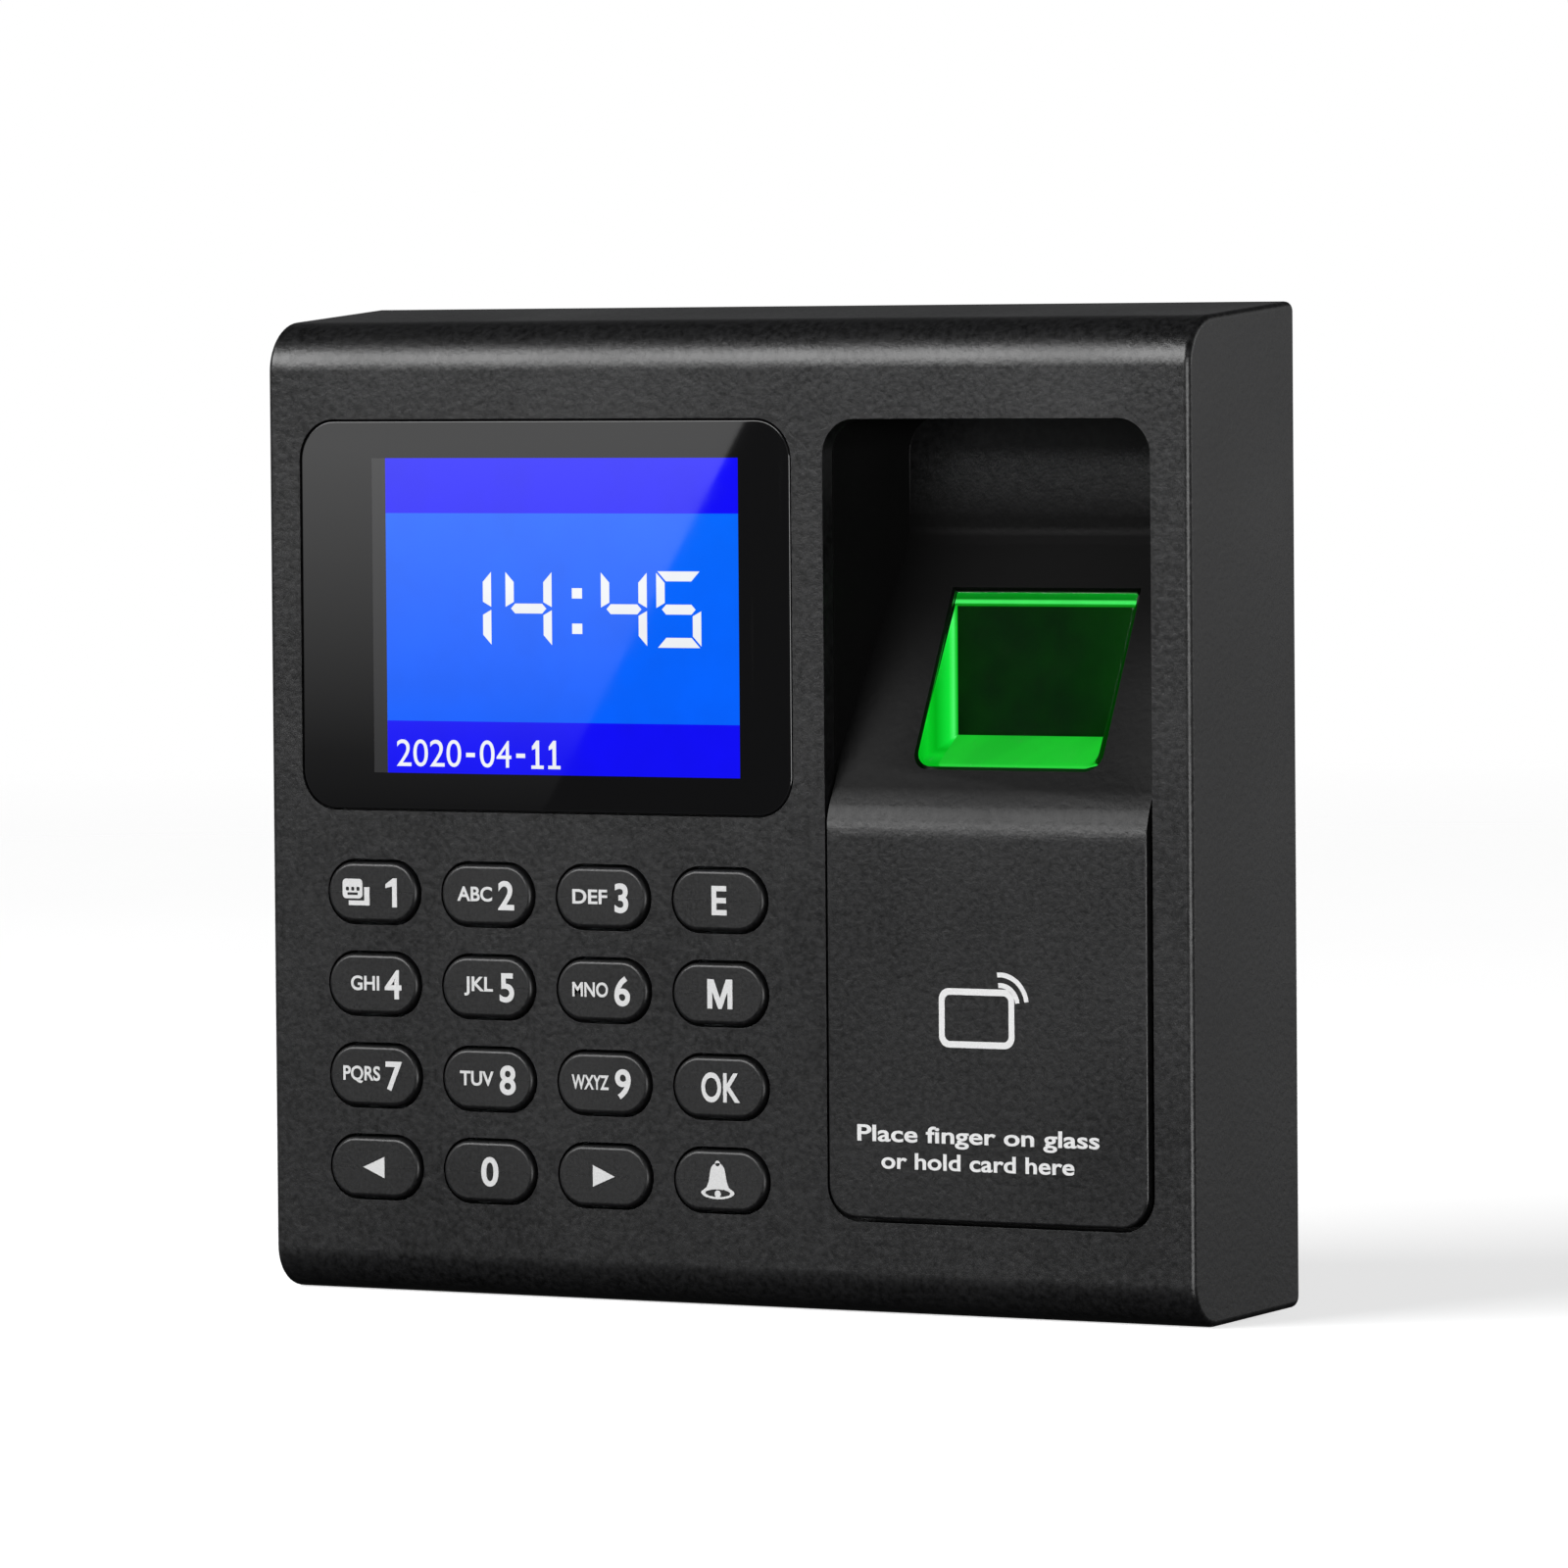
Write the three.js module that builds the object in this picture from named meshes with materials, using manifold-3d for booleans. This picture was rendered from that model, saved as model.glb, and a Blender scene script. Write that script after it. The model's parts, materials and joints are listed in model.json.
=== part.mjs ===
// A wall-mounted fingerprint and card terminal, as an assembly of separate pieces.
// Millimetres. +Z is up, +X is to the right of someone facing the terminal, and the wall is the plane y = 0.
// Depths are measured from the front face into the body, so a depth d lies at y = FRONT_Y + d.
import * as THREE from "three";
import { mergeVertices } from "three/addons/utils/BufferGeometryUtils.js";
import Module from "manifold-3d";

const wasm = await Module();
wasm.setup();

// ---- Driving dimensions ----
const FRONT_Y = -24.8; // front face, in front of the wall
const HALF_WIDTH = 62.5;
const BOTTOM_Z = -56.4; // lowest point, at the front
const BOTTOM_SLOPE = 0.045; // rise per millimetre of depth
const TOP_BACK_Z = 59.1; // the top slopes up towards the wall and ends here
const TOP_SLOPE = 0.08;
const CASE_DEPTH = 24.2;
const WALL = 2.2;
const TOP_ROUND = 5.8;
const BOTTOM_ROUND = 5.5;
const INNER_CHAMFER = 2.4;
const BACK_ROUND = 1.2;
const SIDE_ROUND = 0.8;
const GAP = 0.3; // between neighbouring pieces
const PASS = 1; // a cutting tool runs this far past the face it cuts
const BITE = 0.2; // joined solids reach this far into each other
const ARC_STEPS = 3; // an arc is drawn with twice as many sides

// Screen
const WINDOW = { x: -24, z: 23.3, w: 68, h: 45.8, r: 4.8 }; // pocket in the case
const POCKET_DEPTH = 1.9;
const SCREEN_OPENING = { x: -24, z: 23.3, w: 58, h: 41, r: 1 };
const SCREEN_LEDGE = { left: -59.5, right: 11.5, back: 3.6, low: -1.2, high: 47.8 };
const LCD = { x: -23.9, z: 23.35, w: 60.3, h: 42.7 }; // 2.4 inch glass with its driver ledge on the left

// Keypad
const KEY_COLUMNS = [-47.9, -31.95, -16, -0.05];
const KEY_ROWS = [-9.15, -19.9, -30.65, -41.4];
const KEY_NAMES = [
  ["key_1", "key_2", "key_3", "key_e"],
  ["key_4", "key_5", "key_6", "key_m"],
  ["key_7", "key_8", "key_9", "key_ok"],
  ["key_left", "key_0", "key_right", "key_bell"],
];
const KEY_HOLE = { w: 13.2, h: 7.75 };
const KEY_GAP = 0.35;
const KEY_PROUD = 0.55;
const KEY_EDGE = 0.35;
const KEY_FLANGE = { w: 14.6, h: 9.1, front: 2.35, back: 3.15 };
const KEY_STEM = { r: 2.4, back: 4 };
const MAT = { left: -57, right: 8.6, bottom: -46.7, top: -3.2, front: 6.2, back: 7.1 };
const DOME = { top: 4.15, rTop: 2.6, rBase: 4, wall: 0.5 };

// Finger guide panel: a proud lower face, a ridge, a ramp and a deep recess above it
const PANEL_HOLE = { left: 14.2, right: 57.4, bottom: -45.5, top: 46.05, r: 4.2 };
const PANEL_GAP = 0.5;
const PANEL_PROUD = 0.55;
const PANEL_SKIN = 1.8;
const RIDGE_RADIUS = 9;
const RAMP_ANGLE = (25 * Math.PI) / 180; // from the vertical
const RAMP_FOOT_Z = 0.4; // where the ramp's plane meets the proud face
const RECESS_DEPTH = 14.4;
const RECESS_FILLET = 2.5;
const RECESS_SIDE_DRAFT = 0.21; // inwards per millimetre of depth
const RECESS_TOP_DRAFT = 0.08;
const FLANGE = { front: 2.35, back: 3.95, margin: 1.8 };
const BUCKET_WALL = 1.6;

// Fingerprint sensor
const GLASS = { x: 36.9, w: 24, lowZ: 6.6, highZ: 26.25 };
const PRISM_BACK = { d: 11.7, lowZ: 9.6, highZ: 24.9 };

// Boards
const BOARD = { front: 7.2, back: 8.8 };
const PART_BASE = BOARD.back + 0.1; // parts stand here on the back of the main board
const SENSOR_BOARD = { front: 17.5, back: 18.7 };

// Back
const COVER = { front: 21.1, back: 23.1, bottom: -52.4, top: 56.2, half: 59.9 };
const BRACKET = { front: 23.6, back: 24.8, half: 35, bottom: -46, top: 40, r: 4 };
const CASE_SCREWS = [
  [-56.6, 51.6],
  [56.6, 51.6],
  [-56.6, -50],
  [56.6, -50],
];
const BOARD_SCREWS = [
  [-44, 49.6],
  [4, 49.6],
  [-44, -50],
  [48, -50],
];
const HOLDER_SCREWS = [
  [18.6, 4.5],
  [54.8, 20],
];
const CABLE_WINDOW = { x: -13, z: -23, w: 36, h: 24, r: 2 };
const SPEAKER = { x: 47, z: -33, r: 10 };
const CASE_POST_R = 3;
const CASE_BORE_FRONT = 11;
const BOARD_POST_R = 2.3;
const BOARD_BORE_FRONT = 3.5;
const LOCK_SCREW_DEPTH = 19;
const LOCK_HOLE_R = 1.75;
const LOCK_SINK = { r: 3, deep: 1.5 };

// ---- Solids ----
function solid(geometry) {
  const bare = geometry.index ? geometry.toNonIndexed() : geometry.clone();
  bare.deleteAttribute("normal");
  bare.deleteAttribute("uv");
  const merged = mergeVertices(bare, 1e-4);
  return new wasm.Manifold(
    new wasm.Mesh({
      numProp: 3,
      vertProperties: merged.attributes.position.array,
      triVerts: new Uint32Array(merged.index.array),
    }),
  );
}

function geometryOf(body) {
  const mesh = body.getMesh();
  const geometry = new THREE.BufferGeometry();
  geometry.setAttribute("position", new THREE.BufferAttribute(mesh.vertProperties, 3));
  geometry.setIndex(new THREE.BufferAttribute(mesh.triVerts, 1));
  geometry.computeVertexNormals();
  return geometry;
}

const union = (...bodies) => bodies.flat().reduce((whole, body) => whole.add(body));
const cut = (body, ...tools) => tools.flat().reduce((left, tool) => left.subtract(tool), body);

// ---- Outlines, in the front view (x, z) ----
function roundedRect({ x, z, w, h, r }) {
  const [left, right, low, high] = [x - w / 2, x + w / 2, z - h / 2, z + h / 2];
  const shape = new THREE.Shape();
  shape.moveTo(left + r, low);
  shape.absarc(right - r, low + r, r, -Math.PI / 2, 0, false);
  shape.absarc(right - r, high - r, r, 0, Math.PI / 2, false);
  shape.absarc(left + r, high - r, r, Math.PI / 2, Math.PI, false);
  shape.absarc(left + r, low + r, r, Math.PI, 1.5 * Math.PI, false);
  return shape;
}

const stadium = (x, z, w, h) => roundedRect({ x, z, w, h, r: h / 2 });

function circle(x, z, r) {
  const shape = new THREE.Shape();
  shape.absarc(x, z, r, 0, 2 * Math.PI, false);
  return shape;
}

const polygon = (points) => new THREE.Shape(points.map(([a, b]) => new THREE.Vector2(a, b)));

function grown(outline, by) {
  return { ...outline, w: outline.w + 2 * by, h: outline.h + 2 * by, r: Math.max(outline.r + by, 0.2) };
}

// The outline as plain points, with no two of them in the same place.
function cleaned(shape, steps) {
  const points = shape.getPoints(steps);
  const kept = points.filter((point, i) => i === 0 || point.distanceTo(points[i - 1]) > 1e-3);
  if (kept[0].distanceTo(kept[kept.length - 1]) < 1e-3) {
    kept.pop();
  }
  return new THREE.Shape(kept);
}

// ---- Placed solids ----
const FROM_FRONT_VIEW = new THREE.Matrix4().makeBasis(
  new THREE.Vector3(1, 0, 0),
  new THREE.Vector3(0, 0, 1),
  new THREE.Vector3(0, -1, 0),
);
const FROM_SIDE_VIEW = new THREE.Matrix4().makeBasis(
  new THREE.Vector3(0, 1, 0),
  new THREE.Vector3(0, 0, 1),
  new THREE.Vector3(1, 0, 0),
);

// A front-view outline carried from one depth to another.
function plate(shape, front, back, steps = ARC_STEPS) {
  const geometry = new THREE.ExtrudeGeometry(cleaned(shape, steps), {
    depth: back - front,
    bevelEnabled: false,
  });
  return solid(geometry.applyMatrix4(FROM_FRONT_VIEW).translate(0, FRONT_Y + back, 0));
}

// The same with both rims rounded.
function roundedPlate(shape, front, back, round, steps = ARC_STEPS, rings = 2) {
  const geometry = new THREE.ExtrudeGeometry(cleaned(shape, steps), {
    depth: back - front - 2 * round,
    bevelThickness: round,
    bevelSize: round,
    bevelOffset: -round,
    bevelSegments: rings,
  });
  return solid(geometry.applyMatrix4(FROM_FRONT_VIEW).translate(0, FRONT_Y + back - round, 0));
}

// A side-view outline (depth, z) carried from one x to another.
function slab(shape, left, right, steps = ARC_STEPS) {
  const geometry = new THREE.ExtrudeGeometry(cleaned(shape, steps), {
    depth: right - left,
    bevelEnabled: false,
  });
  return solid(geometry.applyMatrix4(FROM_SIDE_VIEW).translate(left, FRONT_Y, 0));
}

function block(left, right, front, back, low, high) {
  const geometry = new THREE.BoxGeometry(right - left, back - front, high - low);
  return solid(
    geometry.translate((left + right) / 2, FRONT_Y + (front + back) / 2, (low + high) / 2),
  );
}

const peg = (x, z, r, front, back, steps = 6) => plate(circle(x, z, r), front, back, steps);

// ---- Front case ----
const topAt = (depth) => TOP_BACK_Z - (CASE_DEPTH - depth) * TOP_SLOPE;
const bottomAt = (depth) => BOTTOM_Z + depth * BOTTOM_SLOPE;
const LOCK_Z = bottomAt(LOCK_SCREW_DEPTH); // underside at the locking screw

function caseOutline() {
  const lean = Math.atan(TOP_SLOPE);
  const rise = Math.atan(BOTTOM_SLOPE);
  const backDepth = CASE_DEPTH - BACK_ROUND;
  const underTop = (depth, r) => topAt(depth) - r / Math.cos(lean);
  const overBottom = (depth, r) => bottomAt(depth) + r / Math.cos(rise);
  const shape = new THREE.Shape();
  shape.moveTo(0, overBottom(BOTTOM_ROUND, BOTTOM_ROUND));
  shape.absarc(TOP_ROUND, underTop(TOP_ROUND, TOP_ROUND), TOP_ROUND, Math.PI, Math.PI / 2 + lean, true);
  shape.absarc(backDepth, underTop(backDepth, BACK_ROUND), BACK_ROUND, Math.PI / 2 + lean, 0, true);
  shape.absarc(backDepth, overBottom(backDepth, BACK_ROUND), BACK_ROUND, 0, rise - Math.PI / 2, true);
  shape.absarc(
    BOTTOM_ROUND,
    overBottom(BOTTOM_ROUND, BOTTOM_ROUND),
    BOTTOM_ROUND,
    rise - Math.PI / 2,
    -Math.PI,
    true,
  );
  return shape;
}

function caseShell() {
  const outside = new THREE.ExtrudeGeometry(cleaned(caseOutline(), 3), {
    depth: 2 * (HALF_WIDTH - SIDE_ROUND),
    bevelThickness: SIDE_ROUND,
    bevelSize: SIDE_ROUND,
    bevelOffset: -SIDE_ROUND,
    bevelSegments: 2,
  });
  outside.applyMatrix4(FROM_SIDE_VIEW).translate(SIDE_ROUND - HALF_WIDTH, FRONT_Y, 0);
  const past = CASE_DEPTH + 3;
  const inside = slab(
    polygon([
      [WALL, bottomAt(0) + WALL + INNER_CHAMFER],
      [WALL + INNER_CHAMFER, bottomAt(WALL + INNER_CHAMFER) + WALL],
      [past, bottomAt(past) + WALL],
      [past, topAt(past) - WALL],
      [WALL + INNER_CHAMFER, topAt(WALL + INNER_CHAMFER) - WALL],
      [WALL, topAt(0) - WALL - INNER_CHAMFER],
    ]),
    WALL - HALF_WIDTH,
    HALF_WIDTH - WALL,
  );
  return cut(solid(outside), inside);
}

const panelHole = {
  x: (PANEL_HOLE.left + PANEL_HOLE.right) / 2,
  z: (PANEL_HOLE.bottom + PANEL_HOLE.top) / 2,
  w: PANEL_HOLE.right - PANEL_HOLE.left,
  h: PANEL_HOLE.top - PANEL_HOLE.bottom,
  r: PANEL_HOLE.r,
};

function eachKey(make) {
  return KEY_ROWS.flatMap((z, row) => KEY_COLUMNS.map((x, column) => make(x, z, KEY_NAMES[row][column])));
}

function frontCase() {
  const { left, right, back, low, high } = SCREEN_LEDGE;
  const ledge = block(left, right, WALL - BITE, back, low, high);
  const casePosts = CASE_SCREWS.map(([x, z]) => peg(x, z, CASE_POST_R, WALL - BITE, COVER.front - 0.1));
  const boardPosts = BOARD_SCREWS.map(([x, z]) => peg(x, z, BOARD_POST_R, WALL - BITE, BOARD.front - 0.1));
  const body = union(caseShell(), ledge, casePosts, boardPosts);
  return cut(
    body,
    plate(roundedRect(WINDOW), -PASS, POCKET_DEPTH),
    plate(roundedRect(SCREEN_OPENING), -PASS, back + PASS, 2),
    plate(roundedRect(panelHole), -PASS, WALL + PASS),
    eachKey((x, z) => plate(stadium(x, z, KEY_HOLE.w, KEY_HOLE.h), -PASS, WALL + PASS, 2)),
    CASE_SCREWS.map(([x, z]) => peg(x, z, 1.55, CASE_BORE_FRONT, COVER.front + PASS)),
    BOARD_SCREWS.map(([x, z]) => peg(x, z, 1.4, BOARD_BORE_FRONT, BOARD.front + PASS)),
    lockScrewPeg(LOCK_HOLE_R, LOCK_Z - PASS, LOCK_Z + WALL + PASS),
    lockScrewPeg(LOCK_SINK.r, LOCK_Z - PASS, LOCK_Z + LOCK_SINK.deep),
  );
}

// ---- Finger guide panel ----
const alongRamp = [Math.sin(RAMP_ANGLE), Math.cos(RAMP_ANGLE)]; // (depth, z), upwards
const intoRamp = [Math.cos(RAMP_ANGLE), -Math.sin(RAMP_ANGLE)]; // (depth, z), into the body
const rampDepth = (z, below = 0) =>
  (z - RAMP_FOOT_Z) * Math.tan(RAMP_ANGLE) - PANEL_PROUD + below / Math.cos(RAMP_ANGLE);

// The panel's side-view line from its bottom edge over the ridge and up the ramp, at a distance below
// the visible face. It ends where the ramp reaches the given depth.
function panelLine(below, endDepth, bottom) {
  const radius = RIDGE_RADIUS - below;
  const ridgeZ = RAMP_FOOT_Z - RIDGE_RADIUS * Math.tan(RAMP_ANGLE / 2);
  const steps = 5;
  const points = [[below - PANEL_PROUD, bottom]];
  for (let i = 0; i <= steps; i++) {
    const turn = (RAMP_ANGLE * i) / steps;
    points.push([
      RIDGE_RADIUS - PANEL_PROUD - radius * Math.cos(turn),
      ridgeZ + radius * Math.sin(turn),
    ]);
  }
  const endZ =
    RAMP_FOOT_Z + (endDepth + PANEL_PROUD - below / Math.cos(RAMP_ANGLE)) / Math.tan(RAMP_ANGLE);
  points.push([endDepth, endZ]);
  return points;
}

// The visible face's line, ending with the concave fillet into the recess's back wall.
function recessLine() {
  const points = panelLine(0, RECESS_DEPTH, -2.4);
  const corner = points.pop();
  const reach = RECESS_FILLET * Math.tan(RAMP_ANGLE / 2) * 2;
  const steps = 4;
  const from = [corner[0] - alongRamp[0] * reach, corner[1] - alongRamp[1] * reach];
  const to = [corner[0], corner[1] + reach];
  for (let i = 0; i <= steps; i++) {
    const t = i / steps;
    points.push(
      [0, 1].map((k) => (1 - t) ** 2 * from[k] + 2 * t * (1 - t) * corner[k] + t * t * to[k]),
    );
  }
  return points;
}

// The recess's rounded outline narrowing with depth, grown by a wall's thickness or by nothing.
function taperedRecess(front, back, wall) {
  const { w, h } = panelHole;
  const inner = { ...panelHole, w: w - 2 * PANEL_GAP, h: h - 2 * PANEL_GAP };
  const outline = grown(inner, wall);
  const geometry = new THREE.ExtrudeGeometry(cleaned(roundedRect(outline), ARC_STEPS), {
    depth: back - front,
    bevelEnabled: false,
  });
  geometry.applyMatrix4(FROM_FRONT_VIEW).translate(0, FRONT_Y + back, 0);
  const place = geometry.attributes.position;
  const half = outline.w / 2;
  const height = outline.z + outline.h / 2 - RAMP_FOOT_Z;
  for (let i = 0; i < place.count; i++) {
    const depth = place.getY(i) - FRONT_Y - FLANGE.front;
    const side = place.getX(i) - outline.x;
    place.setX(i, outline.x + side * (1 - (RECESS_SIDE_DRAFT * depth) / half));
    const rise = Math.max(place.getZ(i) - RAMP_FOOT_Z, 0) / height;
    place.setZ(i, place.getZ(i) - rise * RECESS_TOP_DRAFT * depth);
  }
  return solid(geometry);
}

function glassOpening(grow) {
  const low = [rampDepth(GLASS.lowZ), GLASS.lowZ];
  const high = [rampDepth(GLASS.highZ), GLASS.highZ];
  const at = (point, along, into) => [
    point[0] + alongRamp[0] * along + intoRamp[0] * into,
    point[1] + alongRamp[1] * along + intoRamp[1] * into,
  ];
  return slab(
    polygon([at(low, -grow, -3), at(low, -grow, 4), at(high, grow, 4), at(high, grow, -3)]),
    GLASS.x - GLASS.w / 2 - grow,
    GLASS.x + GLASS.w / 2 + grow,
  );
}

function fingerPanel() {
  const { left, right, bottom, top } = PANEL_HOLE;
  const plugOutline = grown(panelHole, -PANEL_GAP);
  const plug = plate(roundedRect(plugOutline), -PANEL_PROUD, FLANGE.front + BITE);
  const flange = plate(roundedRect(grown(panelHole, FLANGE.margin)), FLANGE.front, FLANGE.back, 3);
  const bucketBack = RECESS_DEPTH + BUCKET_WALL;
  const bucket = taperedRecess(FLANGE.front, bucketBack, BUCKET_WALL);
  const far = RECESS_DEPTH + 8;
  const above = 60;

  const faceLine = recessLine();
  const air = polygon([...faceLine, [RECESS_DEPTH, above], [-6, above], [-6, faceLine[0][1]]]);
  const openAir = slab(air, 0, HALF_WIDTH);
  const inRecess = union(
    taperedRecess(FLANGE.front, RECESS_DEPTH + 3, 0),
    block(left - 4, right + 4, -5, FLANGE.front, faceLine[0][1], top + 4),
  );

  const rim = 2; // stays solid inside the panel's edge
  const backLine = panelLine(PANEL_SKIN, bucketBack, bottom + rim);
  const behind = polygon([...backLine, [bucketBack, above], [far, above], [far, bottom + rim]]);
  const behindSkin = slab(behind, left + rim, right - rim);
  const pastFlange = block(0, HALF_WIDTH, FLANGE.back, far, -above, above);
  const behindAll = slab(behind, 0, HALF_WIDTH).intersect(pastFlange);
  const belowFlange = block(0, HALF_WIDTH, FLANGE.back, far, -above, bottom + rim + 0.1);

  const posts = HOLDER_SCREWS.map(([x, z]) => {
    const post = peg(x, z, 2.2, 1, SENSOR_BOARD.front - 0.1);
    return cut(post, openAir, peg(x, z, 1.3, 12, far));
  });
  const shell = cut(
    union(plug, flange, bucket),
    openAir.intersect(inRecess),
    behindSkin,
    behindAll,
    belowFlange,
  );
  return cut(union(shell, posts), glassOpening(GAP));
}

// ---- Fingerprint sensor ----
function prismOutline(grow) {
  const [low, high] = [GLASS.lowZ, GLASS.highZ];
  return polygon([
    [rampDepth(low) - grow, low - grow],
    [rampDepth(high) - grow * 0.2, high + grow],
    [PRISM_BACK.d + 0.2 + grow, PRISM_BACK.highZ + 2 * grow],
    [PRISM_BACK.d + grow, PRISM_BACK.lowZ - 1.3 * grow],
  ]);
}

function sensorPrism() {
  return slab(prismOutline(0), GLASS.x - GLASS.w / 2, GLASS.x + GLASS.w / 2);
}

const CAMERA = { z: 17, r: 4.2 };
const HOLDER = { left: 21.5, right: 52.5, low: 3, high: 29.5, back: 17.2 };
const LED_BAR = { left: 26, right: 48, front: 6.2, back: 10.4, low: 4.4 };

function sensorHolder() {
  const skinBack = PANEL_SKIN + GAP;
  const body = slab(
    polygon([
      [rampDepth(HOLDER.low, skinBack), HOLDER.low],
      [HOLDER.back, HOLDER.low],
      [HOLDER.back, HOLDER.high],
      [rampDepth(HOLDER.high, skinBack), HOLDER.high],
    ]),
    HOLDER.left,
    HOLDER.right,
  );
  return cut(
    body,
    slab(prismOutline(0.4), GLASS.x - GLASS.w / 2 - 0.4, GLASS.x + GLASS.w / 2 + 0.4),
    peg(GLASS.x, CAMERA.z, CAMERA.r + GAP, 11, HOLDER.back + 1),
    block(LED_BAR.left - 0.4, LED_BAR.right + 0.4, 5.8, 10.9, LED_BAR.low - 0.4, 9),
  );
}

function sensorCamera() {
  const barrel = peg(GLASS.x, CAMERA.z, CAMERA.r, 12.5, HOLDER.back + 0.1);
  return cut(barrel, peg(GLASS.x, CAMERA.z, CAMERA.r - 1.2, 12, 14));
}

function ledBar() {
  const { left, right, front, back, low } = LED_BAR;
  const bar = block(left, right, front, back, low, low + 0.8);
  const count = 4;
  const pitch = (right - left) / count;
  const lamps = Array.from({ length: count }, (_, i) => {
    const x = left + pitch * (i + 0.5);
    return block(x - 0.8, x + 0.8, 7.5, 9.1, low + 0.7, low + 1.6);
  });
  return union(bar, lamps);
}

function sensorBoard() {
  const outline = { x: 36.7, z: 15.5, w: 41.4, h: 31, r: 1 };
  return cut(
    plate(roundedRect(outline), SENSOR_BOARD.front, SENSOR_BOARD.back, 2),
    HOLDER_SCREWS.map(([x, z]) => peg(x, z, 1.45, SENSOR_BOARD.front - 1, SENSOR_BOARD.back + 1)),
  );
}

// A flat ribbon: its side-view or top-view centre line, given a thickness.
function ribbonOutline(line, thickness) {
  const curve = new THREE.CatmullRomCurve3(line.map(([a, b]) => new THREE.Vector3(a, b, 0)));
  const steps = 14;
  const offset = (sign) =>
    Array.from({ length: steps + 1 }, (_, i) => {
      const point = curve.getPoint(i / steps);
      const way = curve.getTangent(i / steps);
      return [point.x - sign * way.y * (thickness / 2), point.y + sign * way.x * (thickness / 2)];
    });
  return polygon([...offset(1), ...offset(-1).reverse()]);
}

const SENSOR_SOCKET = { left: 21.5, right: 30.5, back: 11.9, low: -17, high: -11.3 };
const SENSOR_CABLE_LINE = [
  [18.1, -0.5],
  [18.1, -3.5],
  [15, -6.6],
  [11.6, -8.6],
  [10.4, -11],
];

function sensorCable() {
  return slab(ribbonOutline(SENSOR_CABLE_LINE, 0.5), 22, 30);
}

// ---- Screen ----
function screenWindow() {
  return roundedPlate(roundedRect(grown(WINDOW, -0.2)), 0.1, 1.6, 0.2);
}

function windowTape() {
  const outside = plate(roundedRect(grown(WINDOW, -0.5)), 1.65, 1.85, 3);
  return cut(outside, plate(roundedRect(grown(SCREEN_OPENING, 0.6)), 1, 3, 2));
}

function lcdPanel() {
  const { x, z, w, h } = LCD;
  return block(x - w / 2, x + w / 2, 3.8, 5.2, z - h / 2, z + h / 2);
}

function lcdBacklight() {
  const { x, z, w, h } = LCD;
  const rim = 1.1;
  const slack = 0.1;
  const tray = block(x - w / 2 - rim, x + w / 2 + rim, 3.75, 6.9, z - h / 2 - rim, z + h / 2 + rim);
  return cut(
    tray,
    block(x - w / 2 - slack, x + w / 2 + slack, 3, 5.3, z - h / 2 - slack, z + h / 2 + slack),
  );
}

const RIBBON_SOCKET = { left: -50, right: -46, back: 11.2, low: 12, high: 34 };
const LCD_RIBBON_LINE = [
  [-55.5, -18.1],
  [-56.9, -17.5],
  [-57.6, -16],
  [-57.2, -14.4],
  [-55.6, -13.8],
  [-50.3, -13.8],
];

// Drawn in the top view (x, y) and carried upwards.
function lcdRibbon() {
  const geometry = new THREE.ExtrudeGeometry(ribbonOutline(LCD_RIBBON_LINE, 0.3), {
    depth: 20,
    bevelEnabled: false,
  });
  return solid(geometry.translate(0, 0, 13));
}

// ---- Keypad ----
function keyCap(x, z) {
  const cap = roundedPlate(
    stadium(x, z, KEY_HOLE.w - 2 * KEY_GAP, KEY_HOLE.h - 2 * KEY_GAP),
    -KEY_PROUD,
    KEY_FLANGE.front + 0.5,
    KEY_EDGE,
    2,
    2,
  );
  return union(
    cap,
    plate(stadium(x, z, KEY_FLANGE.w, KEY_FLANGE.h), KEY_FLANGE.front, KEY_FLANGE.back, 2),
    peg(x, z, KEY_STEM.r, KEY_FLANGE.back - 0.2, KEY_STEM.back, 4),
  );
}

// A hollow truncated cone that opens towards the board.
function cone(x, z, rTop, rBase, front, back) {
  const geometry = new THREE.CylinderGeometry(rTop, rBase, back - front, 8);
  geometry.rotateX(Math.PI);
  return solid(geometry.rotateZ(Math.PI).translate(x, FRONT_Y + (front + back) / 2, z));
}

function keypadMat() {
  const { left, right, bottom, top, front, back } = MAT;
  const sheet = block(left, right, front, back, bottom, top);
  const domes = eachKey((x, z) => cone(x, z, DOME.rBase, DOME.rTop, DOME.top, front + 0.3));
  const hollows = eachKey((x, z) =>
    cone(x, z, DOME.rBase - DOME.wall, DOME.rTop - DOME.wall, DOME.top + DOME.wall, back + 0.5),
  );
  return cut(union(sheet, domes), hollows);
}

// ---- Boards and their parts ----
function mainBoard() {
  const outline = polygon([
    [-52.9, -52.3],
    [52.9, -52.3],
    [52.9, -46.4],
    [58, -46.4],
    [58, -4],
    [11.5, -4],
    [11.5, 52.3],
    [-52.9, 52.3],
    [-52.9, 47.9],
    [-56.2, 47.9],
    [-56.2, -46.4],
    [-52.9, -46.4],
  ]);
  return cut(
    plate(outline, BOARD.front, BOARD.back),
    BOARD_SCREWS.map(([x, z]) => peg(x, z, 1.45, BOARD.front - 1, BOARD.back + 1)),
  );
}

function cardAntenna() {
  const ring = { x: panelHole.x, z: -22.5, w: 37, h: 36, r: 5 };
  return cut(
    plate(roundedRect(ring), 1.3, 2.3),
    plate(roundedRect(grown(ring, -1.8)), 1, 3),
  );
}

const TERMINALS = { left: -30, right: 2, low: -24, high: -13, back: 19, ways: 8 };

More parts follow.
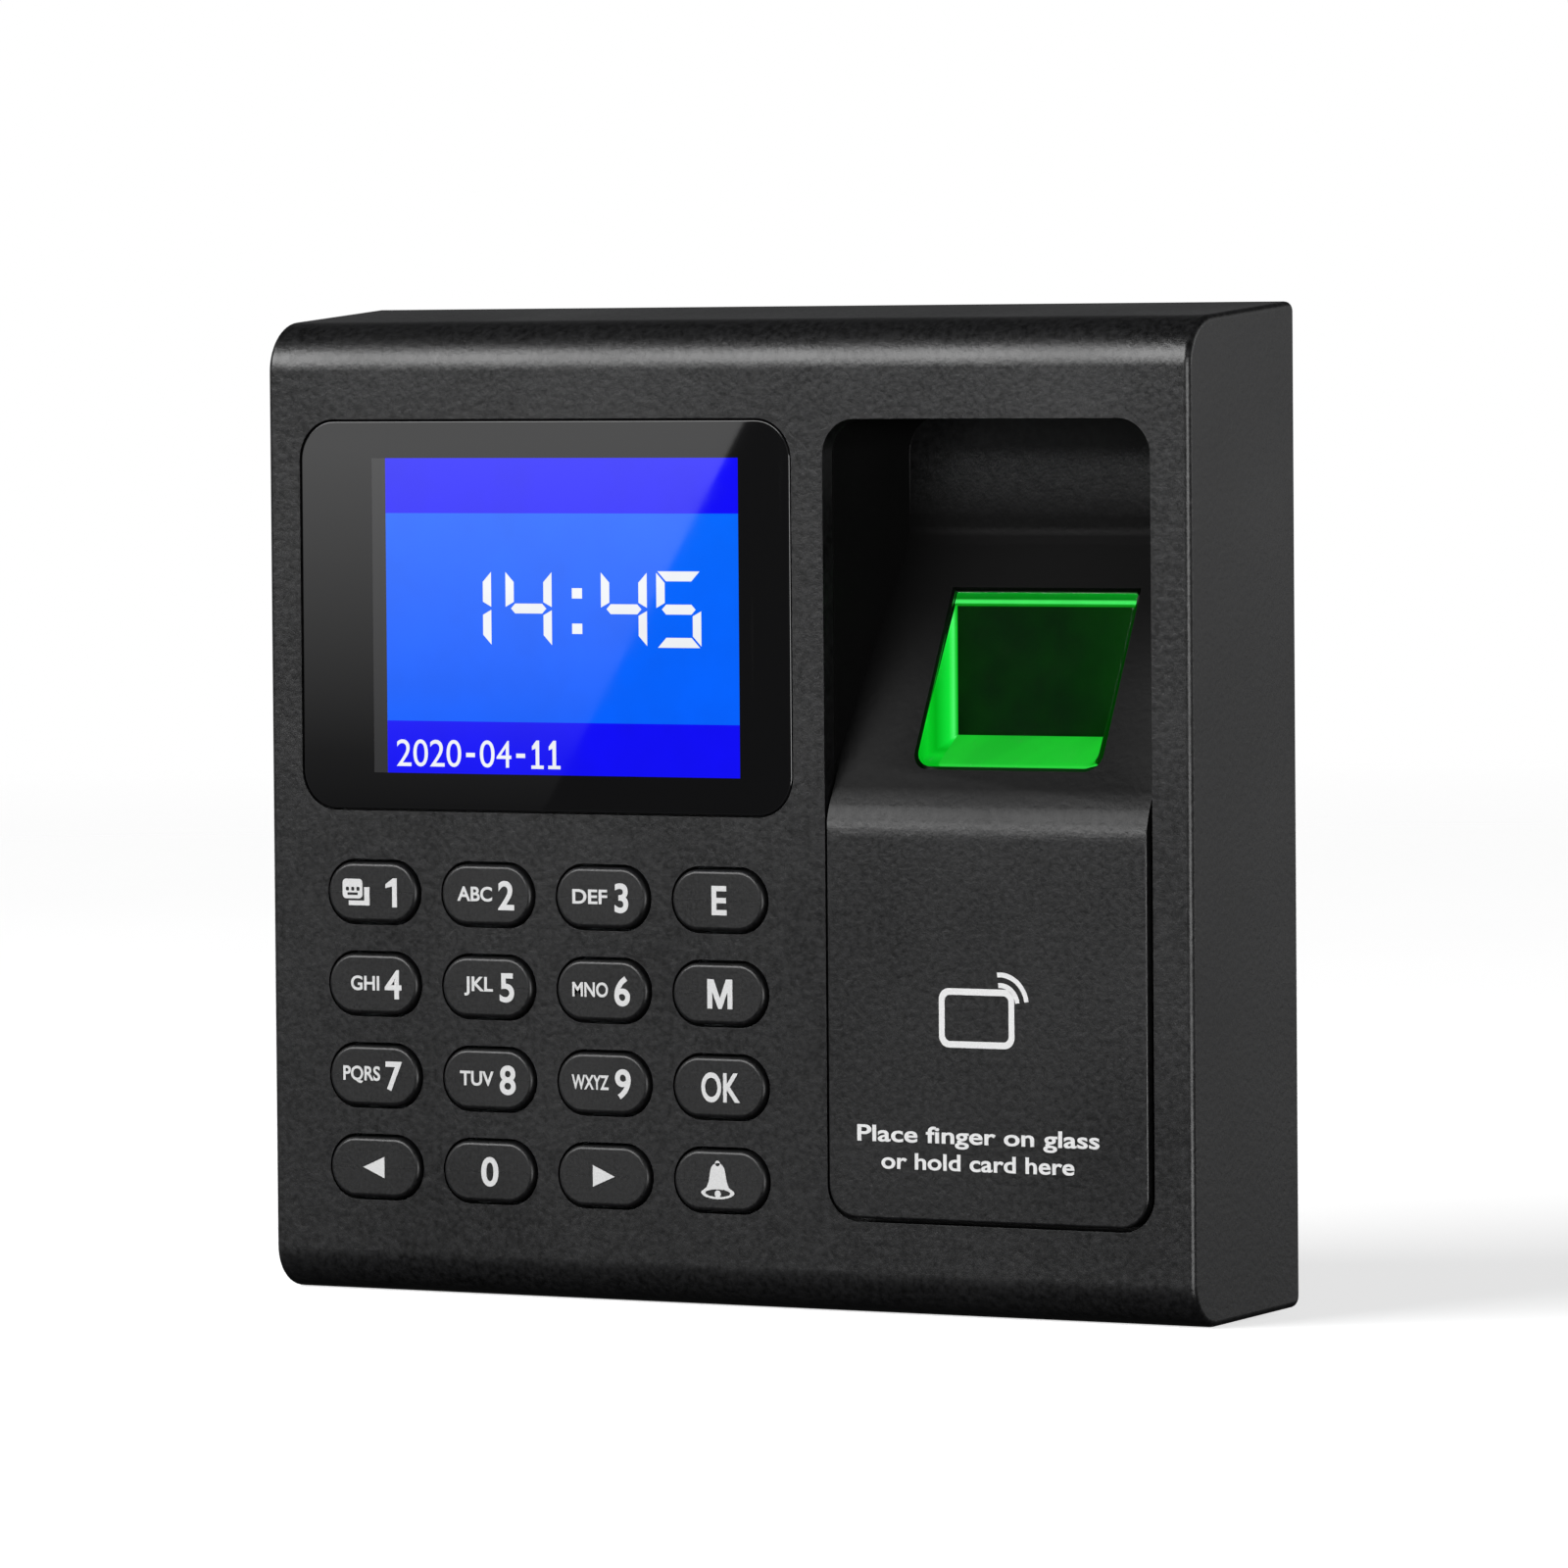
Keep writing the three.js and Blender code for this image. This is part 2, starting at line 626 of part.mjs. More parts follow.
function terminalBlock() {
  const { left, right, low, high, back, ways } = TERMINALS;
  const body = block(left, right, PART_BASE, back, low, high);
  const pitch = (right - left) / ways;
  const holes = Array.from({ length: ways }, (_, i) => {
    const x = left + pitch * (i + 0.5);
    return union(
      block(x - 1.3, x + 1.3, 14, back + 1, low + 1.2, low + 4.6),
      peg(x, high - 3, 1.4, 16.5, back + 1, 3),
    );
  });
  return cut(body, holes);
}

const BATTERY = { x: -5, z: 34, r: 10 };

function batteryHolder() {
  const { x, z, r } = BATTERY;
  const ring = peg(x, z, r + 1.6, PART_BASE, 12.6, 8);
  return cut(ring, peg(x, z, r + 0.35, PART_BASE + 0.9, 14, 8));
}

function coinBattery() {
  return peg(BATTERY.x, BATTERY.z, BATTERY.r, 9.9, 13.1, 8);
}

function buzzer() {
  const [x, z] = [-48, -34];
  return cut(peg(x, z, 6, PART_BASE, 14.4, 6), peg(x, z, 1.1, 13, 15, 3));
}

function speaker() {
  const { x, z, r } = SPEAKER;
  const basket = peg(x, z, r, 17.2, COVER.front - 0.1, 8);
  const magnet = peg(x, z, r * 0.55, 14.8, 17.4, 6);
  return union(basket, magnet);
}

// ---- Back ----
function hookSlot(x, low) {
  return block(x - 1.2, x + 1.2, COVER.front - 1, COVER.back + 1, low - 4, low + 6.3);
}

const HOOKS = [
  [-34.4, 18],
  [34.4, 18],
  [-34.4, -30],
  [34.4, -30],
];

function rearCover() {
  const { front, back, bottom, top, half } = COVER;
  const grille = Array.from({ length: 5 }, (_, i) =>
    plate(stadium(SPEAKER.x, SPEAKER.z + (i - 2) * 3, 14 - Math.abs(i - 2) * 2, 1.4), front - 1, back + 1, 2),
  );
  return cut(
    block(-half, half, front, back, bottom, top),
    plate(roundedRect(CABLE_WINDOW), front - 1, back + 1, 3),
    CASE_SCREWS.map(([x, z]) => peg(x, z, 1.7, front - 1, back + 1)),
    CASE_SCREWS.map(([x, z]) => peg(x, z, 3, front + 0.8, back + 1)),
    HOOKS.map(([x, low]) => hookSlot(x, low)),
    block(-7, 7, front - 1, back + 1, BRACKET.bottom - 2, BRACKET.bottom + 1),
    grille,
  );
}

// A bent tab that passes through the cover and rises behind it.
function hook(x, low) {
  const tip = COVER.front - 0.3;
  const profile = polygon([
    [BRACKET.back - 0.6, low],
    [BRACKET.back - 0.6, low + 6],
    [tip, low + 6],
    [tip, low + 9],
    [tip - 0.9, low + 9],
    [tip - 0.9, low],
  ]);
  return slab(profile, x - 0.6, x + 0.6);
}

const WALL_HOLES = [
  [-27, 30],
  [27, 30],
  [-27, -40.5],
  [27, -40.5],
];

function wallBracket() {
  const { front, back, half, bottom, top, r } = BRACKET;
  const outline = { x: 0, z: (bottom + top) / 2, w: 2 * half, h: top - bottom, r };
  const sheet = plate(roundedRect(outline), front, back, 2);
  const tab = block(-6, 6, 16, back - 0.2, bottom - 0.2, bottom + 1);
  return cut(
    union(
      sheet,
      tab,
      HOOKS.map(([x, low]) => hook(x, low)),
    ),
    plate(roundedRect(CABLE_WINDOW), front - 1, back + 1, 3),
    WALL_HOLES.map(([x, z]) => plate(stadium(x, z, 8, 4.4), front - 1, back + 1, 2)),
    lockScrewPeg(LOCK_HOLE_R, bottom - 2, bottom + 2),
  );
}

// ---- Screws ----
function lockScrewPeg(r, low, high) {
  const geometry = new THREE.CylinderGeometry(r, r, high - low, 16);
  geometry.rotateX(Math.PI / 2);
  return solid(geometry.translate(0, FRONT_Y + LOCK_SCREW_DEPTH, (low + high) / 2));
}

function lockScrew() {
  const head = lockScrewPeg(2.6, LOCK_Z + 0.25, LOCK_Z + 1.4);
  const socket = lockScrewPeg(1.1, LOCK_Z - 1, LOCK_Z + 0.9);
  return cut(union(head, lockScrewPeg(1.4, LOCK_Z + 1.2, BRACKET.bottom + 3)), socket);
}

// A pan-head screw that points forwards, with a cross recess.
function screw(x, z, { headR, headFront, headBack, shankR, tip }) {
  const arm = headR * 0.62;
  const deep = headBack - (headBack - headFront) * 0.6;
  return cut(
    union(peg(x, z, headR, headFront, headBack), peg(x, z, shankR, tip, headFront + 0.1, 4)),
    block(x - arm, x + arm, deep, headBack + 1, z - 0.3, z + 0.3),
    block(x - 0.3, x + 0.3, deep, headBack + 1, z - arm, z + arm),
  );
}

// ---- Materials ----
function finish(color, roughness, metalness = 0, more = {}) {
  return new THREE.MeshStandardMaterial({ color, roughness, metalness, ...more });
}

const casePlastic = finish(0x2c2c2e, 0.62);
const keyRubber = finish(0x29292b, 0.66);
const windowGloss = finish(0x0c0c0e, 0.08);
const lcdBlue = finish(0x0a66ff, 0.25);
const whitePlastic = finish(0xe8e8e4, 0.5);
const blackFoam = finish(0x141414, 0.9);
const matSilicone = finish(0x6f7276, 0.6);
const prismGlass = finish(0x0bb818, 0.05, 0, { transparent: true, opacity: 0.6 });
const blackPlastic = finish(0x161616, 0.5);
const boardGreen = finish(0x12502a, 0.45);
const copper = finish(0xb8662c, 0.3, 1);
const steel = finish(0xb9bcc0, 0.35, 1);
const chipBlack = finish(0x1b1b1d, 0.55);
const terminalGreen = finish(0x1f8a3c, 0.5);
const relayBlue = finish(0x1b4fa0, 0.45);
const ribbonAmber = finish(0xb4731c, 0.4);
const creamPlastic = finish(0xd9d2bd, 0.55);
const screwSteel = finish(0x8f9296, 0.3, 1);

// ---- Assembly ----
const terminal = new THREE.Group();
terminal.name = "fingerprint_terminal";

function add(name, body, material, group = terminal) {
  const mesh = new THREE.Mesh(geometryOf(body), material);
  mesh.name = name;
  group.add(mesh);
}

const housing = new THREE.Group();
add("front_case", frontCase(), casePlastic, housing);
add("finger_panel", fingerPanel(), casePlastic, housing);
add("rear_cover", rearCover(), casePlastic, housing);
CASE_SCREWS.forEach(([x, z], i) => {
  const size = {
    headR: 2.5,
    headFront: COVER.front + 0.85,
    headBack: COVER.back - 0.15,
    shankR: 1.2,
    tip: 12,
  };
  add(`case_screw_${i + 1}`, screw(x, z, size), screwSteel, housing);
});

const screen = new THREE.Group();
add("screen_window", screenWindow(), windowGloss, screen);
add("window_tape", windowTape(), blackFoam, screen);
add("lcd_panel", lcdPanel(), lcdBlue, screen);
add("lcd_backlight", lcdBacklight(), whitePlastic, screen);
add("lcd_ribbon", lcdRibbon(), ribbonAmber, screen);

const keypad = new THREE.Group();
eachKey((x, z, name) => add(name, keyCap(x, z), keyRubber, keypad));
add("keypad_mat", keypadMat(), matSilicone, keypad);

const sensor = new THREE.Group();
add("sensor_prism", sensorPrism(), prismGlass, sensor);
add("sensor_holder", sensorHolder(), blackPlastic, sensor);
add("sensor_camera", sensorCamera(), chipBlack, sensor);
add("sensor_led_bar", ledBar(), whitePlastic, sensor);
add("sensor_board", sensorBoard(), boardGreen, sensor);
add("sensor_cable", sensorCable(), ribbonAmber, sensor);
HOLDER_SCREWS.forEach(([x, z], i) => {
  const size = { headR: 2.2, headFront: 18.75, headBack: 19.75, shankR: 1, tip: 12.5 };
  add(`sensor_screw_${i + 1}`, screw(x, z, size), screwSteel, sensor);
});

const electronics = new THREE.Group();
const PROCESSOR = { left: -36, right: -22, back: 10.3, low: 16, high: 30 };
const MEMORY = { left: -14, right: -8, back: 10.2, low: 8, high: 16 };
const RELAY = { left: -52.5, right: -33.5, back: 19.4, low: -12, high: 3.5 };
const part = (box) => block(box.left, box.right, PART_BASE, box.back, box.low, box.high);
add("main_board", mainBoard(), boardGreen, electronics);
add("processor_chip", part(PROCESSOR), chipBlack, electronics);
add("memory_chip", part(MEMORY), chipBlack, electronics);
add("lock_relay", part(RELAY), relayBlue, electronics);
add("terminal_block", terminalBlock(), terminalGreen, electronics);
add("battery_holder", batteryHolder(), blackPlastic, electronics);
add("coin_battery", coinBattery(), steel, electronics);
add("buzzer", buzzer(), blackPlastic, electronics);
add("ribbon_socket", part(RIBBON_SOCKET), creamPlastic, electronics);
add("sensor_socket", part(SENSOR_SOCKET), creamPlastic, electronics);
add("card_antenna", cardAntenna(), copper, electronics);
add("speaker", speaker(), blackPlastic, electronics);
BOARD_SCREWS.forEach(([x, z], i) => {
  const size = { headR: 2.4, headFront: PART_BASE, headBack: 10.1, shankR: 1.1, tip: 4 };
  add(`board_screw_${i + 1}`, screw(x, z, size), screwSteel, electronics);
});

const mounting = new THREE.Group();
add("wall_bracket", wallBracket(), steel, mounting);
add("lock_screw", lockScrew(), screwSteel, mounting);

terminal.add(housing, screen, keypad, sensor, electronics, mounting);

export default terminal;
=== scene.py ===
import json
import math

import bpy
from mathutils import Matrix, Vector

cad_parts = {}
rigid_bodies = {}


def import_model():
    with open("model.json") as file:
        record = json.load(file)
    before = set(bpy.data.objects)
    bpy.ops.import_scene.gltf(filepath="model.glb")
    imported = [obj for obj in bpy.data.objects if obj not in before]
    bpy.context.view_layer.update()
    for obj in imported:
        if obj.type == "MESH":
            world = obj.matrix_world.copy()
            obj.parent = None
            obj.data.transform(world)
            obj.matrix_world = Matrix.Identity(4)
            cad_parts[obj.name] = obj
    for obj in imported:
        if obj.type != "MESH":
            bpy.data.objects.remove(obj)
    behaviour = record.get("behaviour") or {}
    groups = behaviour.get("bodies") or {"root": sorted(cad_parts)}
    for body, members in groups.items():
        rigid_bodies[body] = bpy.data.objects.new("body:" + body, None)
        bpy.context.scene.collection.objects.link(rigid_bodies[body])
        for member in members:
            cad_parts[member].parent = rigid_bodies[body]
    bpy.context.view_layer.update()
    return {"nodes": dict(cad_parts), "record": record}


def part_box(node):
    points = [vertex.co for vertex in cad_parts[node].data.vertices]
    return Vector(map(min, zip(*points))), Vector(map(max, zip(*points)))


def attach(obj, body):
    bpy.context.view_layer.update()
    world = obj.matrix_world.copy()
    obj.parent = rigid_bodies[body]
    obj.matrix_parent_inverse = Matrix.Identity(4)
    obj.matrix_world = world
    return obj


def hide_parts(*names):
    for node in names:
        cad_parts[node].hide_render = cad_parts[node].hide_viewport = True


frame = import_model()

MM = 0.001
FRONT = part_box("front_case")[0].y / MM  # the front face, in millimetres
BODY = "terminal"

# ---- Places, in millimetres: x to the right, depth from the front face, z up ----
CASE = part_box("front_case")
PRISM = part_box("sensor_prism")
HALF_WIDTH = CASE[1].x / MM
CASE_DEPTH = (CASE[1].y - CASE[0].y) / MM
BOTTOM, BOTTOM_SLOPE = -56.4, 0.045  # the underside rises towards the wall
TOP, TOP_SLOPE = 59.1, 0.08  # and so does the top
WALL = 2.2
RAMP = math.radians(25)
RAMP_FOOT = 0.4
RIDGE = 9.0
PANEL_PROUD = 0.55
PANEL_GAP = 0.5
FLANGE_FRONT = 2.35  # the panel's flange lies behind the case's wall
RECESS_DRAFT = 0.246  # each side leans in this much per millimetre of depth
RECESS_DEPTH = 14.4
HOLE = {"left": 14.2, "right": 57.4, "low": -45.5, "high": 46.05, "round": 4.2}
WINDOW = {"left": -58, "right": 10, "low": 0.4, "high": 46.2, "round": 4.8}
KEY_W, KEY_H = 13.2, 7.75
KEY_GAP = 0.35
CASE_POSTS = [(x, z) for x in (-56.6, 56.6) for z in (51.6, -50)]


def at(x, depth, z):
    return Vector((x, FRONT + depth, z)) * MM


def ramp_depth(z):
    return (z - RAMP_FOOT) * math.tan(RAMP) - PANEL_PROUD


# ---- Hand tools ----
def deselect():
    if bpy.context.object and bpy.context.object.mode != "OBJECT":
        bpy.ops.object.mode_set(mode="OBJECT")
    bpy.ops.object.select_all(action="DESELECT")


def take(obj):
    deselect()
    obj.select_set(True)
    bpy.context.view_layer.objects.active = obj


def settle(obj):
    take(obj)
    bpy.ops.object.transform_apply(location=True, rotation=True, scale=True)
    return obj


def block(name, x, depth, z):
    low, high = at(x[0], depth[0], z[0]), at(x[1], depth[1], z[1])
    deselect()
    bpy.ops.mesh.primitive_cube_add(size=1, location=(low + high) / 2)
    obj = bpy.context.object
    obj.name = name
    obj.scale = high - low
    return settle(obj)


def choose(obj, kind, test):
    """Leaves obj in edit mode with the parts selected whose middle and direction pass the test."""
    take(obj)
    bpy.ops.object.mode_set(mode="EDIT")
    bpy.ops.mesh.select_mode(type=kind)
    bpy.ops.mesh.select_all(action="DESELECT")
    bpy.ops.object.mode_set(mode="OBJECT")
    mesh = obj.data

    def place(point):
        return Vector((point.x / MM, point.y / MM - FRONT, point.z / MM))

    if kind == "VERT":
        for v in mesh.vertices:
            v.select = bool(test(place(v.co), None))
    elif kind == "EDGE":
        for e in mesh.edges:
            a, b = (mesh.vertices[i].co for i in e.vertices)
            e.select = bool(test(place((a + b) / 2), (b - a).normalized()))
    else:
        for f in mesh.polygons:
            f.select = bool(test(place(f.center), f.normal))
    bpy.ops.object.mode_set(mode="EDIT")


def done():
    bpy.ops.object.mode_set(mode="OBJECT")


def round_edges(obj, radius, segments, test, profile=0.5):
    choose(obj, "EDGE", test)
    bpy.ops.mesh.bevel(
        offset=radius * MM, offset_type="OFFSET", segments=segments, profile=profile, clamp_overlap=False
    )
    done()


def tube(name, x, z, radius, front, back, sides=32):
    """A round peg that runs from front to back."""
    deselect()
    middle = at(x, (front + back) / 2, z)
    bpy.ops.mesh.primitive_cylinder_add(
        vertices=sides,
        radius=radius * MM,
        depth=(back - front) * MM,
        location=middle,
        rotation=(math.pi / 2, 0, 0),
    )
    obj = bpy.context.object
    obj.name = name
    return settle(obj)


def rounded_block(name, x, depth, z, radius, segments=10):
    """A block with its four front-to-back edges rounded."""
    obj = block(name, x, depth, z)
    round_edges(obj, radius, segments, lambda c, way: abs(way.y) > 0.9)
    return obj


def combine(obj, tools, operation="DIFFERENCE"):
    for tool in tools:
        take(obj)
        cutter = obj.modifiers.new("cut", "BOOLEAN")
        cutter.operation = operation
        cutter.solver = "EXACT"
        cutter.object = tool
        bpy.ops.object.modifier_apply(modifier=cutter.name)
        bpy.data.objects.remove(tool, do_unlink=True)
    return obj


def cleaned(obj, distance=0.002, facets=True):
    take(obj)
    bpy.ops.object.mode_set(mode="EDIT")
    bpy.ops.mesh.select_all(action="SELECT")
    bpy.ops.mesh.remove_doubles(threshold=distance * MM)
    if facets:
        bpy.ops.mesh.dissolve_limited(angle_limit=math.radians(0.3))
    done()
    return obj


def soften(obj, width, segments=3, angle=35):
    """Rounds every crisp edge and shades the flats flat."""
    take(obj)
    if width:
        rim = obj.modifiers.new("rim", "BEVEL")
        rim.width = width * MM
        rim.segments = segments
        rim.limit_method = "ANGLE"
        rim.angle_limit = math.radians(angle)
        rim.use_clamp_overlap = True
        rim.miter_outer = "MITER_ARC"
        bpy.ops.object.modifier_apply(modifier=rim.name)
    bpy.ops.object.shade_smooth_by_angle(angle=math.radians(50))
    weigh = obj.modifiers.new("weigh", "WEIGHTED_NORMAL")
    weigh.keep_sharp = True
    bpy.ops.object.modifier_apply(modifier=weigh.name)
    return obj


def flat_shape(name, outlines, depth, thickness):
    """A thin printed shape from closed outlines of (x, z), facing the front at a depth."""
    curve = bpy.data.curves.new(name, "CURVE")
    curve.dimensions = "2D"
    curve.fill_mode = "BOTH"
    curve.extrude = thickness / 2 * MM
    for outline in outlines:
        spline = curve.splines.new("POLY")
        spline.points.add(len(outline) - 1)
        for point, (x, z) in zip(spline.points, outline):
            point.co = (x * MM, z * MM, 0, 1)
        spline.use_cyclic_u = True
    obj = bpy.data.objects.new(name, curve)
    bpy.context.scene.collection.objects.link(obj)
    return stood_up(obj, 0, depth - thickness / 2, 0)


def arc(x, z, radius, start, end, steps=12, squash=1.0):
    """Points of (x, z) along an arc between two angles in degrees."""
    turns = [math.radians(start + (end - start) * i / steps) for i in range(steps + 1)]
    return [(x + radius * math.cos(t), z + radius * squash * math.sin(t)) for t in turns]


def rounded_outline(left, right, low, high, radius):
    return (
        arc(right - radius, high - radius, radius, 90, 0)
        + arc(right - radius, low + radius, radius, 0, -90)
        + arc(left + radius, low + radius, radius, -90, -180)
        + arc(left + radius, high - radius, radius, 180, 90)
    )


def refined(node, width=0.15, segments=2, angle=40, pocketed=False):
    """A copy of a CAD solid with its facets joined and its crisp edges rounded.

    A pocketed one keeps its facets and edges, because a face with a hole in it can't be joined into one.
    """
    source = frame["nodes"][node]
    obj = source.copy()
    obj.data = source.data.copy()
    obj.name = node + "_finished"
    bpy.context.scene.collection.objects.link(obj)
    take(obj)
    bpy.ops.object.parent_clear(type="CLEAR_KEEP_TRANSFORM")
    settle(obj)
    cleaned(obj, facets=not pocketed)
    return soften(obj, 0 if pocketed else width, segments, angle)


def stood_up(obj, x, depth, z):
    """Makes a flat curve or text a mesh and stands it up, facing the front."""
    take(obj)
    bpy.ops.object.convert(target="MESH")
    obj = bpy.context.object
    obj.rotation_euler = (math.pi / 2, 0, 0)
    obj.location = at(x, depth, z)
    return settle(obj)


def lettering(
    name,
    words,
    height,
    x,
    z,
    depth,
    thickness=0.04,
    width=1.0,
    bold=0.0,
    spacing=1.0,
    align="CENTER",
    span=None,
):
    """Raised letters by their capital height, at x by their middle or an end. A span sets the whole width."""
    text = bpy.data.curves.new(name, "FONT")
    text.body = words
    text.size = 1.37 * height * MM  # capitals are 0.73 of the size
    text.align_x = align
    text.align_y = "CENTER"
    text.extrude = thickness / 2 * MM
    text.offset = bold * MM
    text.space_character = spacing
    text.resolution_u = 6
    obj = bpy.data.objects.new(name, text)
    bpy.context.scene.collection.objects.link(obj)
    take(obj)
    bpy.ops.object.convert(target="MESH")
    obj = bpy.context.object
    corners = [Vector(c) for c in obj.bound_box]
    low = Vector(map(min, *corners))
    high = Vector(map(max, *corners))
    middle = {"CENTER": (low.x + high.x) / 2, "LEFT": low.x, "RIGHT": high.x}[align]
    if span:
        width = span * MM / (high.x - low.x)
    obj.location = (-middle * width, -(low.y + high.y) / 2, 0)
    obj.scale = (width, 1, 1)
    settle(obj)
    obj.rotation_euler = (math.pi / 2, 0, 0)
    obj.location = at(x, depth - thickness / 2, z)
    return settle(obj)


# ---- Finishes ----
class Sum:
    """A number on a shader socket, for sums written as Python."""

    def __init__(self, finish, socket):
        self.finish, self.socket = finish, socket

    def with_other(self, operation, first, second):
        return self.finish.node("ShaderNodeMath", {"operation": operation}, [first, second])

    def __add__(self, other):
        return self.with_other("ADD", self, other)

    __radd__ = __add__

    def __sub__(self, other):
        return self.with_other("SUBTRACT", self, other)

    def __rsub__(self, other):
        return self.with_other("SUBTRACT", other, self)

    def __mul__(self, other):
        return self.with_other("MULTIPLY", self, other)

    __rmul__ = __mul__


class Finish:
    """A material under construction."""

    def __init__(self, name, **constants):
        self.material = bpy.data.materials.new(name)
        self.material.use_nodes = True
        self.tree = self.material.node_tree
        self.tree.nodes.clear()
        self.surface = self.tree.nodes.new("ShaderNodeBsdfPrincipled")
        self.output = self.tree.nodes.new("ShaderNodeOutputMaterial")
        self.tree.links.new(self.surface.outputs[0], self.output.inputs[0])
        self.place = self.tree.nodes.new("ShaderNodeTexCoord").outputs["Object"]
        for key, value in constants.items():
            self.surface.inputs[key.replace("_", " ")].default_value = value

    def put(self, socket, value):
        if isinstance(value, Sum):
            value = value.socket
        if isinstance(value, bpy.types.NodeSocket):
            self.tree.links.new(value, socket)
        elif value is not None:
            socket.default_value = value

    def node(self, kind, settings=None, sockets=None, result=0):
        made = self.tree.nodes.new(kind)
        for key, value in (settings or {}).items():
            if key == "stops":
                ramp = made.color_ramp
                while len(ramp.elements) < len(value):
                    ramp.elements.new(0.5)
                for element, (position, colour) in zip(ramp.elements, value):
                    element.position = position
                    element.color = colour
            else:
                setattr(made, key, value)
        items = sockets.items() if isinstance(sockets, dict) else enumerate(sockets or [])
        for key, value in items:
            self.put(made.inputs[key], value)
        return Sum(self, made.outputs[result])

    def noise(self, scale, detail=3.0, rough=0.55, stretch=(1, 1, 1)):
        where = self.node("ShaderNodeMapping", {}, {"Vector": self.place, "Scale": stretch})
        return self.node(
            "ShaderNodeTexNoise",
            {"noise_dimensions": "3D"},
            {"Vector": where, "Scale": scale, "Detail": detail, "Roughness": rough},
        )

    def spots(self, scale, feature="F1"):
        return self.node("ShaderNodeTexVoronoi", {"feature": feature}, {"Vector": self.place, "Scale": scale})

    def ramp(self, value, stops):
        return self.node("ShaderNodeValToRGB", {"stops": stops}, [value])

    def between(self, mask, first, second):
        """A colour, first where the mask is 0 and second where it is 1."""
        return self.node(
            "ShaderNodeMix", {"data_type": "RGBA"}, {0: mask, 6: first, 7: second}, result=2
        )

    def fitted(self, value, low, high, to_low, to_high):
        return self.node("ShaderNodeMapRange", {"clamp": True}, [value, low, high, to_low, to_high])

    def edges(self, radius):
        """1 along crisp edges and 0 on the flats."""
        rounded = self.node("ShaderNodeBevel", {"samples": 6}, {"Radius": radius * MM})
        flat = self.node("ShaderNodeNewGeometry", result=1)
        likeness = self.node("ShaderNodeVectorMath", {"operation": "DOT_PRODUCT"}, [rounded, flat], result=1)
        return self.fitted(likeness, 0.995, 0.9, 0.0, 1.0)

    def axis(self, index):
        return self.node("ShaderNodeSeparateXYZ", {}, [self.place], result=index)

    def bump(self, height, strength, distance):
        return self.node(
            "ShaderNodeBump", {}, {"Strength": strength, "Distance": distance * MM, "Height": height}
        )

    def mix_with_painted_shade(self, shade, cover):
        """Lays painted shade over the first surface: a darker, duller copy of the same plastic, mixed in by
        the cover.
        """
        painted_shade_bsdf = self.tree.nodes.new("ShaderNodeBsdfPrincipled")
        painted_shade_bsdf.inputs["Base Color"].default_value = grey(shade * 0.7)
        painted_shade_bsdf.inputs["Roughness"].default_value = 0.8
        painted_shade_bsdf.inputs["Specular IOR Level"].default_value = 0.03
        mix = self.tree.nodes.new("ShaderNodeMixShader")
        self.put(mix.inputs[0], cover)
        self.tree.links.new(self.surface.outputs[0], mix.inputs[1])
        self.tree.links.new(painted_shade_bsdf.outputs[0], mix.inputs[2])
        self.tree.links.new(mix.outputs[0], self.output.inputs[0])

    def feed(self, **links):
        for key, value in links.items():
            self.put(self.surface.inputs[key.replace("_", " ")], value)
        return self.material


def grey(value, tint=0.0):
    return (value, value, value * (1 + tint), 1.0)


def moulded(name, shade, rough, grain=1300, relief=0.055, wear=0.5, tint=0.05, recess=False):
    """Satin moulded plastic: a fine sparkled grain, faint handling marks and paler, smoother edges; with
    recess set, painted shade in the finger recess.
    """
    f = Finish(name, IOR=1.47, Specular_IOR_Level=0.5)
    fine = f.noise(grain, 4.0, 0.6)
    broad = f.noise(38, 3.0, 0.5)
    rub = f.noise(420, 5.0, 0.6)
    edge = f.edges(0.5) * f.fitted(rub, 0.35, 0.65, 0.2, 1.0) * wear
    speckle = f.fitted(fine, 0.33, 0.68, 0.0, 1.0)
    body = f.between(speckle, grey(shade * 0.3, tint), grey(shade * 2.0, tint))
    hazed = f.between(f.fitted(broad, 0.35, 0.7, 0.0, 0.35), body, grey(shade * 1.5, tint))
    colour = f.between(edge, hazed, grey(shade * 2.3, tint))
    dull = f.fitted(broad, 0.3, 0.7, rough - 0.04, rough + 0.04) + (fine - 0.5) * 0.22 - edge * 0.08
    # painted shade: a darker, duller layer mixed in over the finger recess
    if recess:
        f.mix_with_painted_shade(shade, painted_recess_shade(f))
    return f.feed(Base_Color=colour, Roughness=dull, Normal=f.bump(fine, 0.9, relief))


def painted_recess_shade(f):
    """How much painted shade lies over the finger recess: least on the ridge, more down the ramp and most
    deep down, and on the back wall darker towards its foot.
    """
    depth, z = f.axis(1) * 1000.0 - FRONT, f.axis(2) * 1000.0
    ridge = f.fitted(depth, -0.53, -0.28, 0.0, 0.55) * f.fitted(z, -3.0, -2.0, 0.0, 1.0)
    ramp = f.fitted(depth, -0.28, 1.2, 0.0, 0.37) + f.fitted(depth, 6.0, 11.0, 0.0, 0.07)
    walls = (ridge + ramp) * f.fitted(depth, 14.25, 14.35, 1.0, 0.0)
    # painted shadow: the back wall is dark at its foot and clears towards its top
    back = f.fitted(depth, 14.25, 14.35, 0.0, 1.0) * f.fitted(z, 34.5, 41.5, 0.93, 0.05)
    return walls + back


def printed(name, shade):
    """Screen-printed ink with a slightly uneven cover."""
    f = Finish(name, IOR=1.45)
    cover = f.noise(5200, 3.0, 0.6)
    colour = f.between(f.fitted(cover, 0.35, 0.7, 0.0, 1.0), grey(shade * 0.86), grey(shade))
    dull = f.fitted(cover, 0.3, 0.7, 0.38, 0.55)
    return f.feed(Base_Color=colour, Roughness=dull, Normal=f.bump(cover, 0.3, 0.006))


